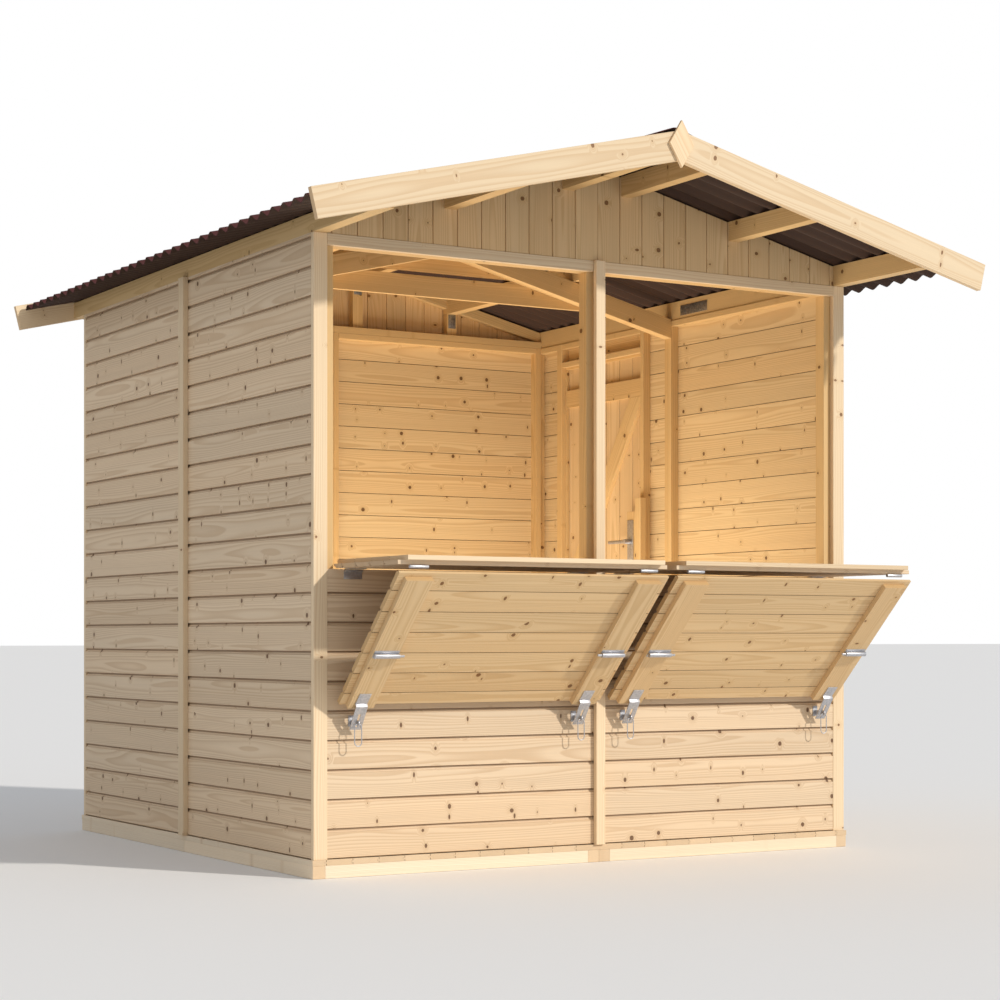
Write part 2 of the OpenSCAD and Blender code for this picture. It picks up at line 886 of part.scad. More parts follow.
module lever_handle() {
    stand_off = 30;
    neck_r = 9;
    grip_r = 7;
    x_in = block_x0 - plate_t - seat;
    x_out = leaf_x1 + plate_t + seat;
    color(steel)
    translate([0, lock_y, lock_z]) {
        translate([x_in - stand_off, 0, 0]) rotate([0, 90, 0])
            cylinder(h = x_out - x_in + 2 * stand_off, r = spindle_r);
        for (x = [x_in - stand_off, x_out])
            translate([x, 0, 0]) rotate([0, 90, 0]) cylinder(h = stand_off, r = neck_r);
        for (x = [x_in - stand_off + grip_r + 2, x_out + stand_off - grip_r - 2])
            translate([x, 0, 0]) rotate([-90, 0, 0]) cylinder(h = lever_l, r = grip_r);
    }
}

bearers();
base_rails();
floor();
left_wall();
left_frame();
right_wall();
right_frame();
back_wall();
back_frame();
front_wall();
front_frame();
corner_trims();
cover_battens();
header_trims();
front_gable();
back_gable();
gable_posts();
post_plates();
purlins();
splice_plates();
rafters();
collar_tie();
roof_left();
roof_right();
ridge_cap();
bargeboards();
finials();
counter_boards();
counter_tops();
hatch_leaves();
hatch_battens();
wall_hinges();
fold_hinges();
barrel_bolts();
hasps();
staples();
spring_clips();
keeper_block();
door_stops();
hinge_pins();
door_boards();
door_ledges();
door_braces();
door_straps();
lock_plates();
lever_handle();
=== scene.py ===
"""Finishes, timber detail and studio for the wooden market hut.

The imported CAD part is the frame. Plain timber nodes are taken solid by solid from it and given
eased arrises and grain of their own; boarded panels, the corrugated sheets and the steel fittings
are built here at their real size in place of the CAD's plain panels. One unit is one metre.
"""

import json
import logging
import math
import random
from dataclasses import dataclass
from enum import Enum
from typing import Iterable, Optional, Sequence, Union

import bmesh
import bpy
from mathutils import Matrix, Vector

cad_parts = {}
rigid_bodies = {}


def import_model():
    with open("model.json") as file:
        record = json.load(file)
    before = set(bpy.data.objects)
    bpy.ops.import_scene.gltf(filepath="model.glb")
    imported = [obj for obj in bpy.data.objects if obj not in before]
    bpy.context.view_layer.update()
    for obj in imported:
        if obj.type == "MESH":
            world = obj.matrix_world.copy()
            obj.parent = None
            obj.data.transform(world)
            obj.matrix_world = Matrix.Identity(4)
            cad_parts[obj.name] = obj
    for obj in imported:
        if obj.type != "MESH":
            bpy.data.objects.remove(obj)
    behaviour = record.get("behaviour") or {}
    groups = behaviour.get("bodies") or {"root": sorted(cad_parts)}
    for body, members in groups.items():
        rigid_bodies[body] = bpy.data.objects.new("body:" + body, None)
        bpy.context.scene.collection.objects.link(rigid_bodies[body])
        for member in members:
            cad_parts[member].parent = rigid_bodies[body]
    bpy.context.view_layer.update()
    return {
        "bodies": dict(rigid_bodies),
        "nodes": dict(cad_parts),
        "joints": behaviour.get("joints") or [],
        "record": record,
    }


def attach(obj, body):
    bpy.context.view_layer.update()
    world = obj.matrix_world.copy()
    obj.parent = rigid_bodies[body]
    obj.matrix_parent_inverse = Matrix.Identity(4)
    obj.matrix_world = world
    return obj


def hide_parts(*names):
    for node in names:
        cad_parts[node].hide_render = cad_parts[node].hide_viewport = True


LOG = logging.getLogger("market_hut")
MM = 0.001

X, Y, Z = Vector((1, 0, 0)), Vector((0, 1, 0)), Vector((0, 0, 1))
# A distance past either edge of any board
FAR = 1.0
# Slack when lengths are compared, in metres
SLACK = 1e-6

Point = tuple[float, float]
Socket = Union[float, Sequence[float], bpy.types.NodeSocket]

# Layers that a piece of timber carries: two vectors on its corners, four masks on its faces
VECTOR_LAYERS = ("grain", "tone")
FACE_LAYERS = ("cut", "inner", "joint", "wide")
LAYER_READS = {**dict.fromkeys(VECTOR_LAYERS, "Vector"), **dict.fromkeys(FACE_LAYERS, "Fac")}


class Axis(Enum):
    """Local direction in which a piece of timber grew."""

    X = X
    Z = Z


class Body(Enum):
    """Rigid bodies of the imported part."""

    HUT = "hut"
    DOOR = "door"
    LEVER = "lever"


class Slot(Enum):
    """Material slots of the record."""

    OUTSIDE = "spruce_outside"
    FRAME = "spruce_frame"
    TRIM = "spruce_trim"
    BASE = "base_timber"
    ROOF = "roof_sheet"
    STEEL = "zinc_steel"


# ---------------------------------------------------------------- colour and shader helpers


def linear(code: str) -> tuple[float, float, float, float]:
    """Turns an sRGB hex colour into the linear colour that the shaders use.

    Args:
        code: Six hex digits, such as "e3c49a".

    Returns:
        Red, green, blue and alpha, linear, from 0 to 1.
    """
    values = [int(code[i : i + 2], 16) / 255 for i in (0, 2, 4)]
    out = [v / 12.92 if v <= 0.04045 else ((v + 0.055) / 1.055) ** 2.4 for v in values]
    return (out[0], out[1], out[2], 1.0)


class Shader:
    """Node tree of one material, with one small call that adds, sets and wires a node."""

    def __init__(self, name: str) -> None:
        """Makes the material with nothing but an output.

        Args:
            name: Name of the material.
        """
        self.material = bpy.data.materials.new(name)
        self.material.use_nodes = True
        self.tree = self.material.node_tree
        self.tree.nodes.clear()
        self.output = self.tree.nodes.new("ShaderNodeOutputMaterial")

    def add(self, kind: str, values: Union[Sequence[Socket], dict], out: Union[int, str] = 0,
            **settings: object) -> bpy.types.NodeSocket:
        """Adds one node.

        Args:
            kind: Node type without its prefix, and after a point its operation if it has one.
            values: Values or other nodes' outputs, in the order of the inputs or by their names.
            out: Name or number of the output that is wanted.
            **settings: Properties of the node.

        Returns:
            The output socket.
        """
        kind, _, operation = kind.partition(".")
        node = self.tree.nodes.new("ShaderNode" + kind)
        if operation:
            settings["operation"] = operation
        for key, value in settings.items():
            setattr(node, key, value)
        for key, value in values.items() if isinstance(values, dict) else enumerate(values):
            if isinstance(value, bpy.types.NodeSocket):
                self.tree.links.new(value, node.inputs[key])
            else:
                node.inputs[key].default_value = value
        return node.outputs[out]

    def finish(self, colour: Socket, rough: Socket, metal: float, bump: Optional[Socket], depth: float,
               **constants: Socket) -> bpy.types.Material:
        """Adds the surface shader and wires it to the output.

        Args:
            colour: Base colour.
            rough: Roughness.
            metal: Metallic share.
            bump: Height from 0 to 1, or None for a smooth face.
            depth: Real depth of that height in metres.
            **constants: Other inputs of the surface shader, with underscores for blanks.

        Returns:
            The finished material.
        """
        inputs = {"Base Color": colour, "Roughness": rough, "Metallic": metal}
        inputs.update({key.replace("_", " "): value for key, value in constants.items()})
        if bump is not None:
            inputs["Normal"] = self.add("Bump", {"Strength": 1.0, "Distance": depth, "Height": bump})
        self.tree.links.new(self.add("BsdfPrincipled", inputs), self.output.inputs["Surface"])
        return self.material


# ---------------------------------------------------------------- finishes


def per_metre(along: float, across: float) -> tuple[float, float, float]:
    """Turns a pattern's real length and width into its scale along and across the grain."""
    return (1 / along, 1 / across, 1 / across)


SMOOTH = {"interpolation_type": "SMOOTHSTEP"}
COLOUR = {"data_type": "RGBA"}
TINT = {"data_type": "RGBA", "blend_type": "MULTIPLY"}


@dataclass(frozen=True)
class SpruceFinish:
    """Softwood, planed or sawn, left bare: rings, fibres and knots in each piece's own grain."""

    name: str
    early: str
    late: str
    knot: str
    # Spacing of the year rings, how strongly they show and how far they swell and shrink, in rings
    ring_pitch: float = 3.4 * MM
    ring_share: float = 0.32
    ring_swell: float = 3.0
    ring_swell_size: float = 14.2857 * MM
    # Length and width of the slow bends of the rings, and their reach
    wander_size: Point = (909.091 * MM, 142.857 * MM)
    wander: float = 26 * MM
    # Length and width of fibres, drawn coarser than real ones so that they show, and of tone bands
    fibre_size: Point = (142.857 * MM, 2.38095 * MM)
    band_size: Point = (625 * MM, 21.7391 * MM)
    streak: float = 0.13
    # One knot at most in each cell, and how many cells have one
    knot_cell: Point = (120 * MM, 58 * MM)
    knot_radius: Point = (2.2 * MM, 8.0 * MM)
    knot_share: float = 0.55
    knot_on_edge: float = 0.12
    # Ragged rim of a knot, its softness, the bent wood around it and its dark heart
    rim_size: float = 3.84615 * MM
    rim: float = 2.2 * MM
    rim_soft: float = 0.9 * MM
    bend_reach: float = 26 * MM
    bend_push: float = 9 * MM
    bend_shade: float = 0.22
    heart_size: float = 1.11111 * MM
    # Differences from piece to piece, painted warm bounce light on the room side, and painted shade in
    # the joints
    tone_spread: float = 0.1
    warm_spread: float = 0.2
    warm: tuple[float, float, float, float] = (0.98, 0.8, 0.58, 1.0)
    painted_bounce_share: float = 0.0
    inner: tuple[float, float, float, float] = (1.0, 0.96, 0.78, 1.0)
    painted_shade: str = "6b4a2e"
    painted_shade_share: float = 0.62
    end_grain_share: float = 0.5
    roughness: float = 0.62
    specular: float = 0.3
    relief: float = 0.12 * MM

    def knots(self, sh: Shader, grain: Socket, seed: Socket) -> tuple[Socket, Socket]:
        """Places branches in the board.

        Args:
            sh: Shader that is being built.
            grain: Coordinates in the board, in metres.
            seed: Random value of the board.

        Returns:
            The mask of the knots, and how strongly the rings bend around them.
        """
        cell = (*self.knot_cell, 1.0)
        flat = sh.add("VectorMath.MULTIPLY", (grain, (1 / cell[0], 1 / cell[1], 0.0)))
        flat = sh.add("VectorMath.ADD", (flat, sh.add("CombineXYZ", (seed, seed, 0.0))))
        point = sh.add("TexVoronoi", {"Vector": flat, "Scale": 1.0}, "Position", voronoi_dimensions="2D")
        chance, flatness, _ = sh.add("SeparateColor", [point.node.outputs["Color"]]).node.outputs
        away = sh.add("VectorMath.MULTIPLY", (sh.add("VectorMath.SUBTRACT", (flat, point)), cell))
        narrow = sh.add("MapRange", (flatness, 0.2, 0.9, 1.0, 2.2), **SMOOTH)
        away = sh.add("VectorMath.MULTIPLY", (away, sh.add("CombineXYZ", (narrow, 1.0, 0.0))))
        ragged = sh.add("TexNoise", {"Vector": grain, "Scale": 1 / self.rim_size})
        ragged = sh.add("Math.MULTIPLY", (sh.add("Math.SUBTRACT", (ragged, 0.5)), self.rim))
        distance = sh.add("Math.ADD", (sh.add("VectorMath.LENGTH", [away], 1), ragged))
        share = 1 - self.knot_share
        radius = sh.add("MapRange", (chance, share, 1.0, *self.knot_radius), **SMOOTH)
        there = sh.add("Math.GREATER_THAN", (chance, share))
        edge = sh.add("Math.SUBTRACT", (distance, radius))
        mask = sh.add("MapRange", (edge, -self.rim_soft, self.rim_soft, 1.0, 0.0), **SMOOTH)
        bend = sh.add("MapRange", (edge, 0.0, self.bend_reach, 1.0, 0.0), **SMOOTH)
        bend = sh.add("Math.MULTIPLY", (bend, there))
        return sh.add("Math.MULTIPLY", (mask, there)), sh.add("Math.MULTIPLY", (bend, bend))

    def rings(self, sh: Shader, grain: Socket, seed: Socket, bend: Socket) -> Socket:
        """Draws the year rings round a pith that lies beside the piece.

        Args:
            sh: Shader that is being built.
            grain: Coordinates in the board, in metres.
            seed: Random value of the board.
            bend: How strongly knots push the rings aside.

        Returns:
            The late wood, from 0 to 1.
        """
        slow = sh.add("VectorMath.MULTIPLY", (grain, per_metre(*self.wander_size)))
        wander = sh.add("TexNoise", {"Vector": slow, "Scale": 1.0, "Detail": 1.5}, "Color")
        wander = sh.add("VectorMath.SUBTRACT", (wander, (0.5, 0.5, 0.5)))
        wander = sh.add("VectorMath.MULTIPLY", (wander, (0.0, self.wander, self.wander)))
        push = sh.add("CombineXYZ", (0.0, 0.0, sh.add("Math.MULTIPLY", (bend, self.bend_push))))
        bent = sh.add("VectorMath.ADD", (sh.add("VectorMath.ADD", (grain, wander)), push))
        bent = sh.add("VectorMath.MULTIPLY", (bent, (0.0, 1.0, 1.0)))
        radius = sh.add("VectorMath.LENGTH", [bent], 1)
        place = sh.add("CombineXYZ", (radius, 0.0, seed))
        swell = sh.add("TexNoise", {"Vector": place, "Scale": 1 / self.ring_swell_size})
        swell = sh.add("Math.MULTIPLY", (swell, self.ring_swell))
        turns = sh.add("Math.ADD", (sh.add("Math.DIVIDE", (radius, self.ring_pitch)), swell))
        phase = sh.add("Math.FRACT", [turns])
        # The late wood darkens slowly and ends at once
        growth = sh.add("MapRange", (phase, 0.25, 0.85, 0.0, 1.0), **SMOOTH)
        stop = sh.add("MapRange", (phase, 0.9, 1.0, 1.0, 0.0), **SMOOTH)
        return sh.add("Math.MULTIPLY", (growth, stop))

    def build(self) -> bpy.types.Material:
        """Makes the material.

        Returns:
            The finished material.
        """
        sh = Shader(self.name)
        read = {
            name: sh.add("Attribute", {}, out, attribute_name=name)
            for name, out in LAYER_READS.items()
        }
        grain = read["grain"]
        light, warm, seed = sh.add("SeparateXYZ", [read["tone"]]).node.outputs
        knot, bend = self.knots(sh, grain, seed)
        # Branches hardly show on the narrow edges
        shown = sh.add("MapRange", (read["wide"], 0.0, 1.0, self.knot_on_edge, 1.0), **SMOOTH)
        knot = sh.add("Math.MULTIPLY", (knot, shown))
        ring = self.rings(sh, grain, seed, bend)
        fibre = sh.add("TexNoise", {
            "Vector": sh.add("VectorMath.MULTIPLY", (grain, per_metre(*self.fibre_size))),
            "Scale": 1.0, "Detail": 3.0, "Roughness": 0.6,
        })
        band = sh.add("TexNoise", {
            "Vector": sh.add("VectorMath.MULTIPLY", (grain, per_metre(*self.band_size))), "Scale": 1.0,
        })
        late = linear(self.late)
        share = sh.add("Math.MULTIPLY", (ring, self.ring_share))
        colour = sh.add("Mix", {0: share, 6: linear(self.early), 7: late}, 2, **COLOUR)
        shade = sh.add("Math.MULTIPLY", (sh.add("Math.ADD", (fibre, band)), 0.5))
        shade = sh.add("Math.MULTIPLY", (sh.add("Math.SUBTRACT", (shade, 0.5)), 2 * self.streak))
        tone = sh.add("Math.MULTIPLY", (light, self.tone_spread))
        shade = sh.add("Math.ADD", (sh.add("Math.ADD", (shade, tone)), 1.0))
        colour = sh.add("VectorMath.SCALE", {0: colour, "Scale": shade})
        heart = sh.add("TexNoise", {"Vector": grain, "Scale": 1 / self.heart_size})
        heart = sh.add("MapRange", (heart, 0.2, 0.8, 0.72, 1.0), **SMOOTH)
        # Each layer of colour: how much of it, the colour, and whether it tints or covers
        coats = (
            (warm, self.warm_spread, self.warm, TINT),
            (bend, self.bend_shade, late, COLOUR),
            (knot, heart, linear(self.knot), COLOUR),
            # Painted warm bounce light on the faces towards the room
            (read["inner"], self.painted_bounce_share, self.inner, TINT),
            # Painted shade on the faces in the joints
            (read["joint"], self.painted_shade_share, linear(self.painted_shade), COLOUR),
            (read["cut"], self.end_grain_share, late, COLOUR),
        )
        for mask, amount, over, way in coats:
            share = sh.add("Math.MULTIPLY", (mask, amount))
            colour = sh.add("Mix", {0: share, 6: colour, 7: over}, 2, **way)
        low, high = sh.add("Math.MULTIPLY", (ring, 0.4)), sh.add("Math.MULTIPLY", (fibre, 0.8))
        height = sh.add("Math.ADD", (low, high))
        gloss = {"Specular_IOR_Level": self.specular}
        return sh.finish(colour, self.roughness, 0.0, height, self.relief, **gloss)


@dataclass(frozen=True)
class SheetFinish:
    """Corrugated fibre sheet soaked in bitumen and coloured on top: dull, slightly fibrous."""

    name: str
    top: str
    under: str
    fibre_size: float = 1.92308 * MM
    cloud_size: float = 333.333 * MM
    roughness: float = 0.8
    specular: float = 0.35
    relief: float = 0.35 * MM

    def build(self) -> bpy.types.Material:
        """Makes the material.

        Returns:
            The finished material.
        """
        sh = Shader(self.name)
        place = sh.add("TexCoord", {}, "Object")
        fibre = {"Vector": place, "Scale": 1 / self.fibre_size, "Detail": 4.0, "Roughness": 0.65}
        fibre = sh.add("TexNoise", fibre)
        cloud = sh.add("TexNoise", {"Vector": place, "Scale": 1 / self.cloud_size, "Detail": 3.0})
        side = sh.add("Attribute", {}, "Fac", attribute_name="under")
        colour = sh.add("Mix", {0: side, 6: linear(self.top), 7: linear(self.under)}, 2, **COLOUR)
        amount = sh.add("Math.ADD", (
            sh.add("Math.MULTIPLY", (fibre, 0.3)), sh.add("Math.MULTIPLY", (cloud, 0.4))
        ))
        colour = sh.add("Mix", {0: amount, 6: colour, 7: (0.5, 0.5, 0.5, 1.0)}, 2, **TINT)
        gloss = {"Specular_IOR_Level": self.specular}
        return sh.finish(colour, self.roughness, 0.0, fibre, self.relief, **gloss)


@dataclass(frozen=True)
class SteelFinish:
    """Rolled or drawn steel with a thin zinc coat: grey, softly mottled, with a fine grit."""

    name: str
    bright: str
    dull: str
    roughness: float = 0.38
    metal: float = 0.8
    mottle_size: float = 7.14286 * MM
    mottle_rough: float = 0.14
    grit_size: float = 0.384615 * MM
    relief: float = 0.02 * MM

    def build(self) -> bpy.types.Material:
        """Makes the material.

        Returns:
            The finished material.
        """
        sh = Shader(self.name)
        place = sh.add("TexCoord", {}, "Object")
        mottle = sh.add("TexNoise", {"Vector": place, "Scale": 1 / self.mottle_size, "Detail": 3.0})
        grit = sh.add("TexNoise", {"Vector": place, "Scale": 1 / self.grit_size})
        share = sh.add("MapRange", (mottle, 0.3, 0.7, 0.0, 1.0), **SMOOTH)
        colour = sh.add("Mix", {0: share, 6: linear(self.bright), 7: linear(self.dull)}, 2, **COLOUR)
        rough = sh.add("Math.MULTIPLY", (mottle, self.mottle_rough))
        rough = sh.add("Math.ADD", (self.roughness, rough))
        return sh.finish(colour, rough, self.metal, grit, self.relief)


class Finishes:
    """Every finish of the hut, made once."""

    def __init__(self) -> None:
        """Makes the materials."""
        # Spruce weatherboards, planed and left bare: pale, matt, full of small knots; the face
        # towards the room gets painted warm bounce light
        self.boards = SpruceFinish(
            "planed spruce boards, bare", "e1caab", "b18a5c", "5a371e", painted_bounce_share=1.0,
            knot_share=0.44, tone_spread=0.06,
        ).build()
        # The same boards, warmer all over with painted warm bounce light, and with fewer knots
        self.inner = SpruceFinish(
            "planed spruce boards, yellow", "dfc194", "b88d52", "70451f", knot_share=0.34,
            tone_spread=0.05,
        ).build()
        # Spruce trims, planed on four sides: the palest wood, clean and nearly without knots
        self.trims = SpruceFinish(
            "planed spruce trim, bare", "e8d2b0", "c79d6a", "7a5230", knot_share=0.28, streak=0.1,
        ).build()
        # Studs, rails, purlins and rafters of planed framing timber: plain; their honey colour is partly
        # the timber's own and partly painted warm bounce light of the room
        self.framing = SpruceFinish(
            "planed spruce framing, bare", "dbba85", "b58a50", "66401f", knot_share=0.3,
            tone_spread=0.06,
        ).build()
        # Bearers, rails and floor of the base, planed and bare: nearly white in the sun
        self.base = SpruceFinish(
            "planed spruce base, bare", "ebdcc3", "cba575", "6b4526", knot_share=0.35,
        ).build()
        # Bitumen fibre sheet, painted dark red on top and dark brown below: dull, no highlight
        self.roof = SheetFinish("bitumen fibre sheet, dark red", "5a2a27", "453127").build()
        # Zinc plated steel of the fittings: light grey, with clear highlights on the bends
        self.zinc = SteelFinish("zinc plated steel", "c9c9cd", "b4b6bb", roughness=0.32).build()
        # Hot dip galvanised steel of the connecting plates: darker, mottled, soft highlights
        self.galvanised = SteelFinish(
            "galvanised steel plate", "a6a7a8", "85878a", roughness=0.42, metal=0.95,
        ).build()


# ---------------------------------------------------------------- mesh helpers


def outline(bm: bmesh.types.BMesh, points: Sequence[Point], depth: float) -> list:
    """Makes a closed prism with operators: an outline in XY, extruded along Z.

    Args:
        bm: Mesh to build in.
        points: Corners of the outline, anticlockwise.
        depth: Length of the prism.

    Returns:
        The new vertices.
    """
    made = bmesh.ops.create_circle(bm, cap_ends=True, segments=len(points), radius=1.0)["verts"]
    for vert, (x, y) in zip(made, points):
        vert.co = (x, y, 0.0)
    faces = {f for v in made for f in v.link_faces}
    grown = bmesh.ops.extrude_face_region(bm, geom=list(faces))["geom"]
    top = [g for g in grown if isinstance(g, bmesh.types.BMVert)]
    bmesh.ops.translate(bm, verts=top, vec=(0, 0, depth))
    verts = list(made) + top
    bmesh.ops.recalc_face_normals(bm, faces=list({f for v in verts for f in v.link_faces}))
    return verts


def ease(bm: bmesh.types.BMesh, size: float, segments: int = 2, angle: float = 35.0) -> None:
    """Rounds every sharp arris of the mesh.

    Args:
        bm: Mesh to change.
        size: Width of the rounding.
        segments: Facets across it.
        angle: Edges flatter than this, in degrees, are left alone.
    """
    if size <= 0:
        return
    limit = math.radians(angle)
    sharp = [e for e in bm.edges if len(e.link_faces) == 2 and e.calc_face_angle(0.0) > limit]
    bmesh.ops.bevel(
        bm, geom=sharp, offset=size, offset_type="OFFSET", segments=segments, profile=0.5,
        affect="EDGES", clamp_overlap=True, material=-1,
    )


def solid_copy(node: bpy.types.Object) -> bmesh.types.BMesh:
    """Copies a CAD node's loose triangles and joins them into solids.

    Args:
        node: CAD node at rest.

    Returns:
        The mesh, to be freed by the caller.
    """
    bm = bmesh.new()
    bm.from_mesh(node.data)
    bmesh.ops.remove_doubles(bm, verts=bm.verts, dist=SLACK)
    return bm


def join(whole: bmesh.types.BMesh, piece: bmesh.types.BMesh, place: Matrix) -> None:
    """Moves a finished piece to its place and adds it to a collection.

    Args:
        whole: Mesh of the collection.
        piece: Mesh in its local frame, which is freed.
        place: Where it goes.
    """
    bmesh.ops.transform(piece, matrix=place, verts=piece.verts)
    mesh = bpy.data.meshes.new("piece")
    piece.to_mesh(mesh)
    piece.free()
    whole.from_mesh(mesh)
    bpy.data.meshes.remove(mesh)


def flatten(piece: bmesh.types.BMesh) -> None:
    """Merges the triangles of each flat face."""
    bmesh.ops.dissolve_limit(
        piece, angle_limit=math.radians(1.0), verts=piece.verts, edges=piece.edges
    )


def to_object(bm: bmesh.types.BMesh, name: str, material: bpy.types.Material, sharp: float = 38.0,
              weighted: bool = True) -> bpy.types.Object:
    """Turns a mesh into a finished object at the origin.

    Args:
        bm: Mesh, which is freed.
        name: Name of the object.
        material: Its finish.
        sharp: Edges steeper than this, in degrees, stay sharp.
        weighted: Whether wide faces keep their own normals.

    Returns:
        The object.
    """
    limit = math.radians(sharp)
    for edge in bm.edges:
        edge.smooth = len(edge.link_faces) == 2 and edge.calc_face_angle(0.0) < limit
    for face in bm.faces:
        face.smooth = True
    mesh = bpy.data.meshes.new(name)
    bm.to_mesh(mesh)
    bm.free()
    mesh.materials.append(material)
    obj = bpy.data.objects.new(name, mesh)
    bpy.context.scene.collection.objects.link(obj)
    if weighted:
        normals = obj.modifiers.new("flat faces", "WEIGHTED_NORMAL")
        normals.keep_sharp = True
    return obj


def islands(bm: bmesh.types.BMesh) -> list[set]:
    """Splits a mesh into its separate solids, in the order of their first corners.

    Args:
        bm: Mesh of several solids.

    Returns:
        The corners of each solid.
    """
    found, seen = [], set()
    for first in bm.verts:
        if first in seen:
            continue
        island, queue = {first}, [first]
        while queue:
            for edge in queue.pop().link_edges:
                fresh = [v for v in edge.verts if v not in island]
                island.update(fresh)
                queue.extend(fresh)
        seen |= island
        found.append(island)
    return found


def place_piece(obj: bpy.types.Object, body: Body, nodes: Iterable[str]) -> None:
    """Ties an object to its body and the CAD nodes that it stands for.

    Args:
        obj: Finished object.
        body: Body it moves with.
        nodes: CAD nodes that it replaces.
    """
    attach(obj, body.value)
    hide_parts(*nodes)
    LOG.info("%s: %d faces", obj.name, len(obj.data.polygons))


def basis(x: Vector, y: Vector, origin: Vector) -> Matrix:
    """Makes a right-handed placement.

    Args:
        x: Direction of the local X axis.
        y: Direction of the local Y axis.
        origin: Where the local origin goes.

    Returns:
        The matrix.
    """
    place = Matrix((x, y, x.cross(y))).transposed().to_4x4()
    place.translation = origin
    return place


@dataclass(frozen=True)
class JointFaces:
    """Which faces of a board lie in its joints: a range of depth and the board's two edges."""

    shallow: float
    deep: float
    start: float = -FAR
    end: float = FAR

    def holds(self, place: Vector) -> bool:
        """Tells whether a face lies in a joint, from its middle: X across the board, Y through."""
        return self.shallow < place.y < self.deep and self.start < place.x < self.end


class Timber:
    """Collects pieces of timber in one object; each piece has its own grain and tone."""

    def __init__(self, name: str, seed: int) -> None:
        """Starts an empty collection.

        Args:
            name: Name of the object.
            seed: Seed of the pieces' random grain.
        """
        self.name = name
        self.rng = random.Random(seed)
        self.bm = bmesh.new()
        self.layers(self.bm)

    @staticmethod
    def layers(bm: bmesh.types.BMesh) -> list:
        """Finds or makes the layers of VECTOR_LAYERS and FACE_LAYERS.

        Args:
            bm: Mesh that carries them.

        Returns:
            The layers in that order.
        """
        vectors, floats = bm.verts.layers.float_vector, bm.faces.layers.float
        found = [vectors.get(name) or vectors.new(name) for name in VECTOR_LAYERS]
        return found + [floats.get(name) or floats.new(name) for name in FACE_LAYERS]

    def merge(self, piece: bmesh.types.BMesh, along: Vector, across: Vector, place: Matrix,
              hidden: Optional[JointFaces] = None) -> None:
        """Gives a finished piece its grain and adds it.

        Args:
            piece: Mesh in its local frame, which is freed.
            along: Local direction of the grain.
            across: Local direction across the face of the board.
            place: Where the piece goes.
            hidden: Which of its faces lie in a joint, or None.
        """
        grain, tone, cut, inner, joint, wide = self.layers(piece)
        rng = self.rng
        through = along.cross(across)
        middle = sum((v.co for v in piece.verts), Vector()) / len(piece.verts)
        # Where in the log the piece was sawn: place along it, then beside and above the pith
        log_length, beside, above = 40, 0.05, (0.03, 0.11)
        shift = Vector((
            rng.uniform(0, log_length), rng.uniform(-beside, beside),
            rng.choice((-1, 1)) * rng.uniform(*above),
        ))
        look = Vector((rng.uniform(-1, 1), rng.random() ** 2, rng.uniform(0, 50)))
        for vert in piece.verts:
            p = vert.co - middle
            vert[grain] = Vector((p.dot(along), p.dot(across), p.dot(through))) + shift
            vert[tone] = look
        for face in piece.faces:
            facing = face.normal.dot(through)
            face[cut] = float(abs(face.normal.dot(along)) > 0.6)
            # Faces towards the room take the painted warm bounce light
            face[inner] = float(facing < -0.5)
            face[wide] = float(abs(facing) > 0.5)
            # Faces in a joint take the painted shade
            if hidden and not face[cut]:
                face[joint] = float(hidden.holds(face.calc_center_median()))
        join(self.bm, piece, place)

    def prism(self, points: Sequence[Point], length: float, place: Matrix, size: float = 0.0,
              along: Axis = Axis.Z, hidden: Optional[JointFaces] = None) -> None:
        """Adds a piece with a constant section.

        Args:
            points: Section or outline in the local XY plane.
            length: Its extent along local Z.
            place: Where the local frame goes.
            size: Chamfer of the arrises.
            along: Local axis of the grain, Z or X.
            hidden: Which of its faces lie in a joint, or None.
        """
        piece = bmesh.new()
        outline(piece, points, length)
        ease(piece, size, 1)
        across = X if along is Axis.Z else Y
        self.merge(piece, along.value, across, place, hidden)

    def upright_box(self, low: Sequence[float], high: Sequence[float]) -> None:
        """Adds a box whose grain runs upwards.

        Args:
            low: Lowest corner in metres.
            high: Highest corner in metres.
        """
        piece = bmesh.new()
        lo, hi = Vector(low), Vector(high)
        size = Matrix.Diagonal((*(hi - lo), 1.0))
        bmesh.ops.create_cube(piece, size=1.0, matrix=Matrix.Translation((lo + hi) / 2) @ size)
        across = X if (hi - lo).x >= (hi - lo).y else Y
        self.merge(piece, Z, across, Matrix.Identity(4))

    def from_node(self, node: bpy.types.Object, size: float) -> None:
        """Adds every solid of a CAD node, with eased arrises and the grain along its longest edge.

        Args:
            node: CAD node at rest.
            size: Rounding of the arrises.
        """
        whole = solid_copy(node)
        whole.verts.index_update()
        for island in islands(whole):
            piece = whole.copy()
            keep = {v.index for v in island}
            spare = [v for v in piece.verts if v.index not in keep]
            bmesh.ops.delete(piece, geom=spare, context="VERTS")
            flatten(piece)
            longest = max(piece.edges, key=lambda e: e.calc_length())
            along = (longest.verts[1].co - longest.verts[0].co).normalized()
            sides = [f for f in piece.faces if abs(f.normal.dot(along)) < 0.3]
            widest = max(sides, key=lambda f: f.calc_area())
            across = widest.normal.cross(along).normalized()
            ease(piece, size)
            self.merge(piece, along, across, Matrix.Identity(4))
        whole.free()

    def finish(self, material: bpy.types.Material, slot: Slot, body: Body, *nodes: str) -> None:
        """Makes one placed object of a material and a body, in place of CAD nodes."""
        place_piece(to_object(self.bm, self.name, material), body, nodes)


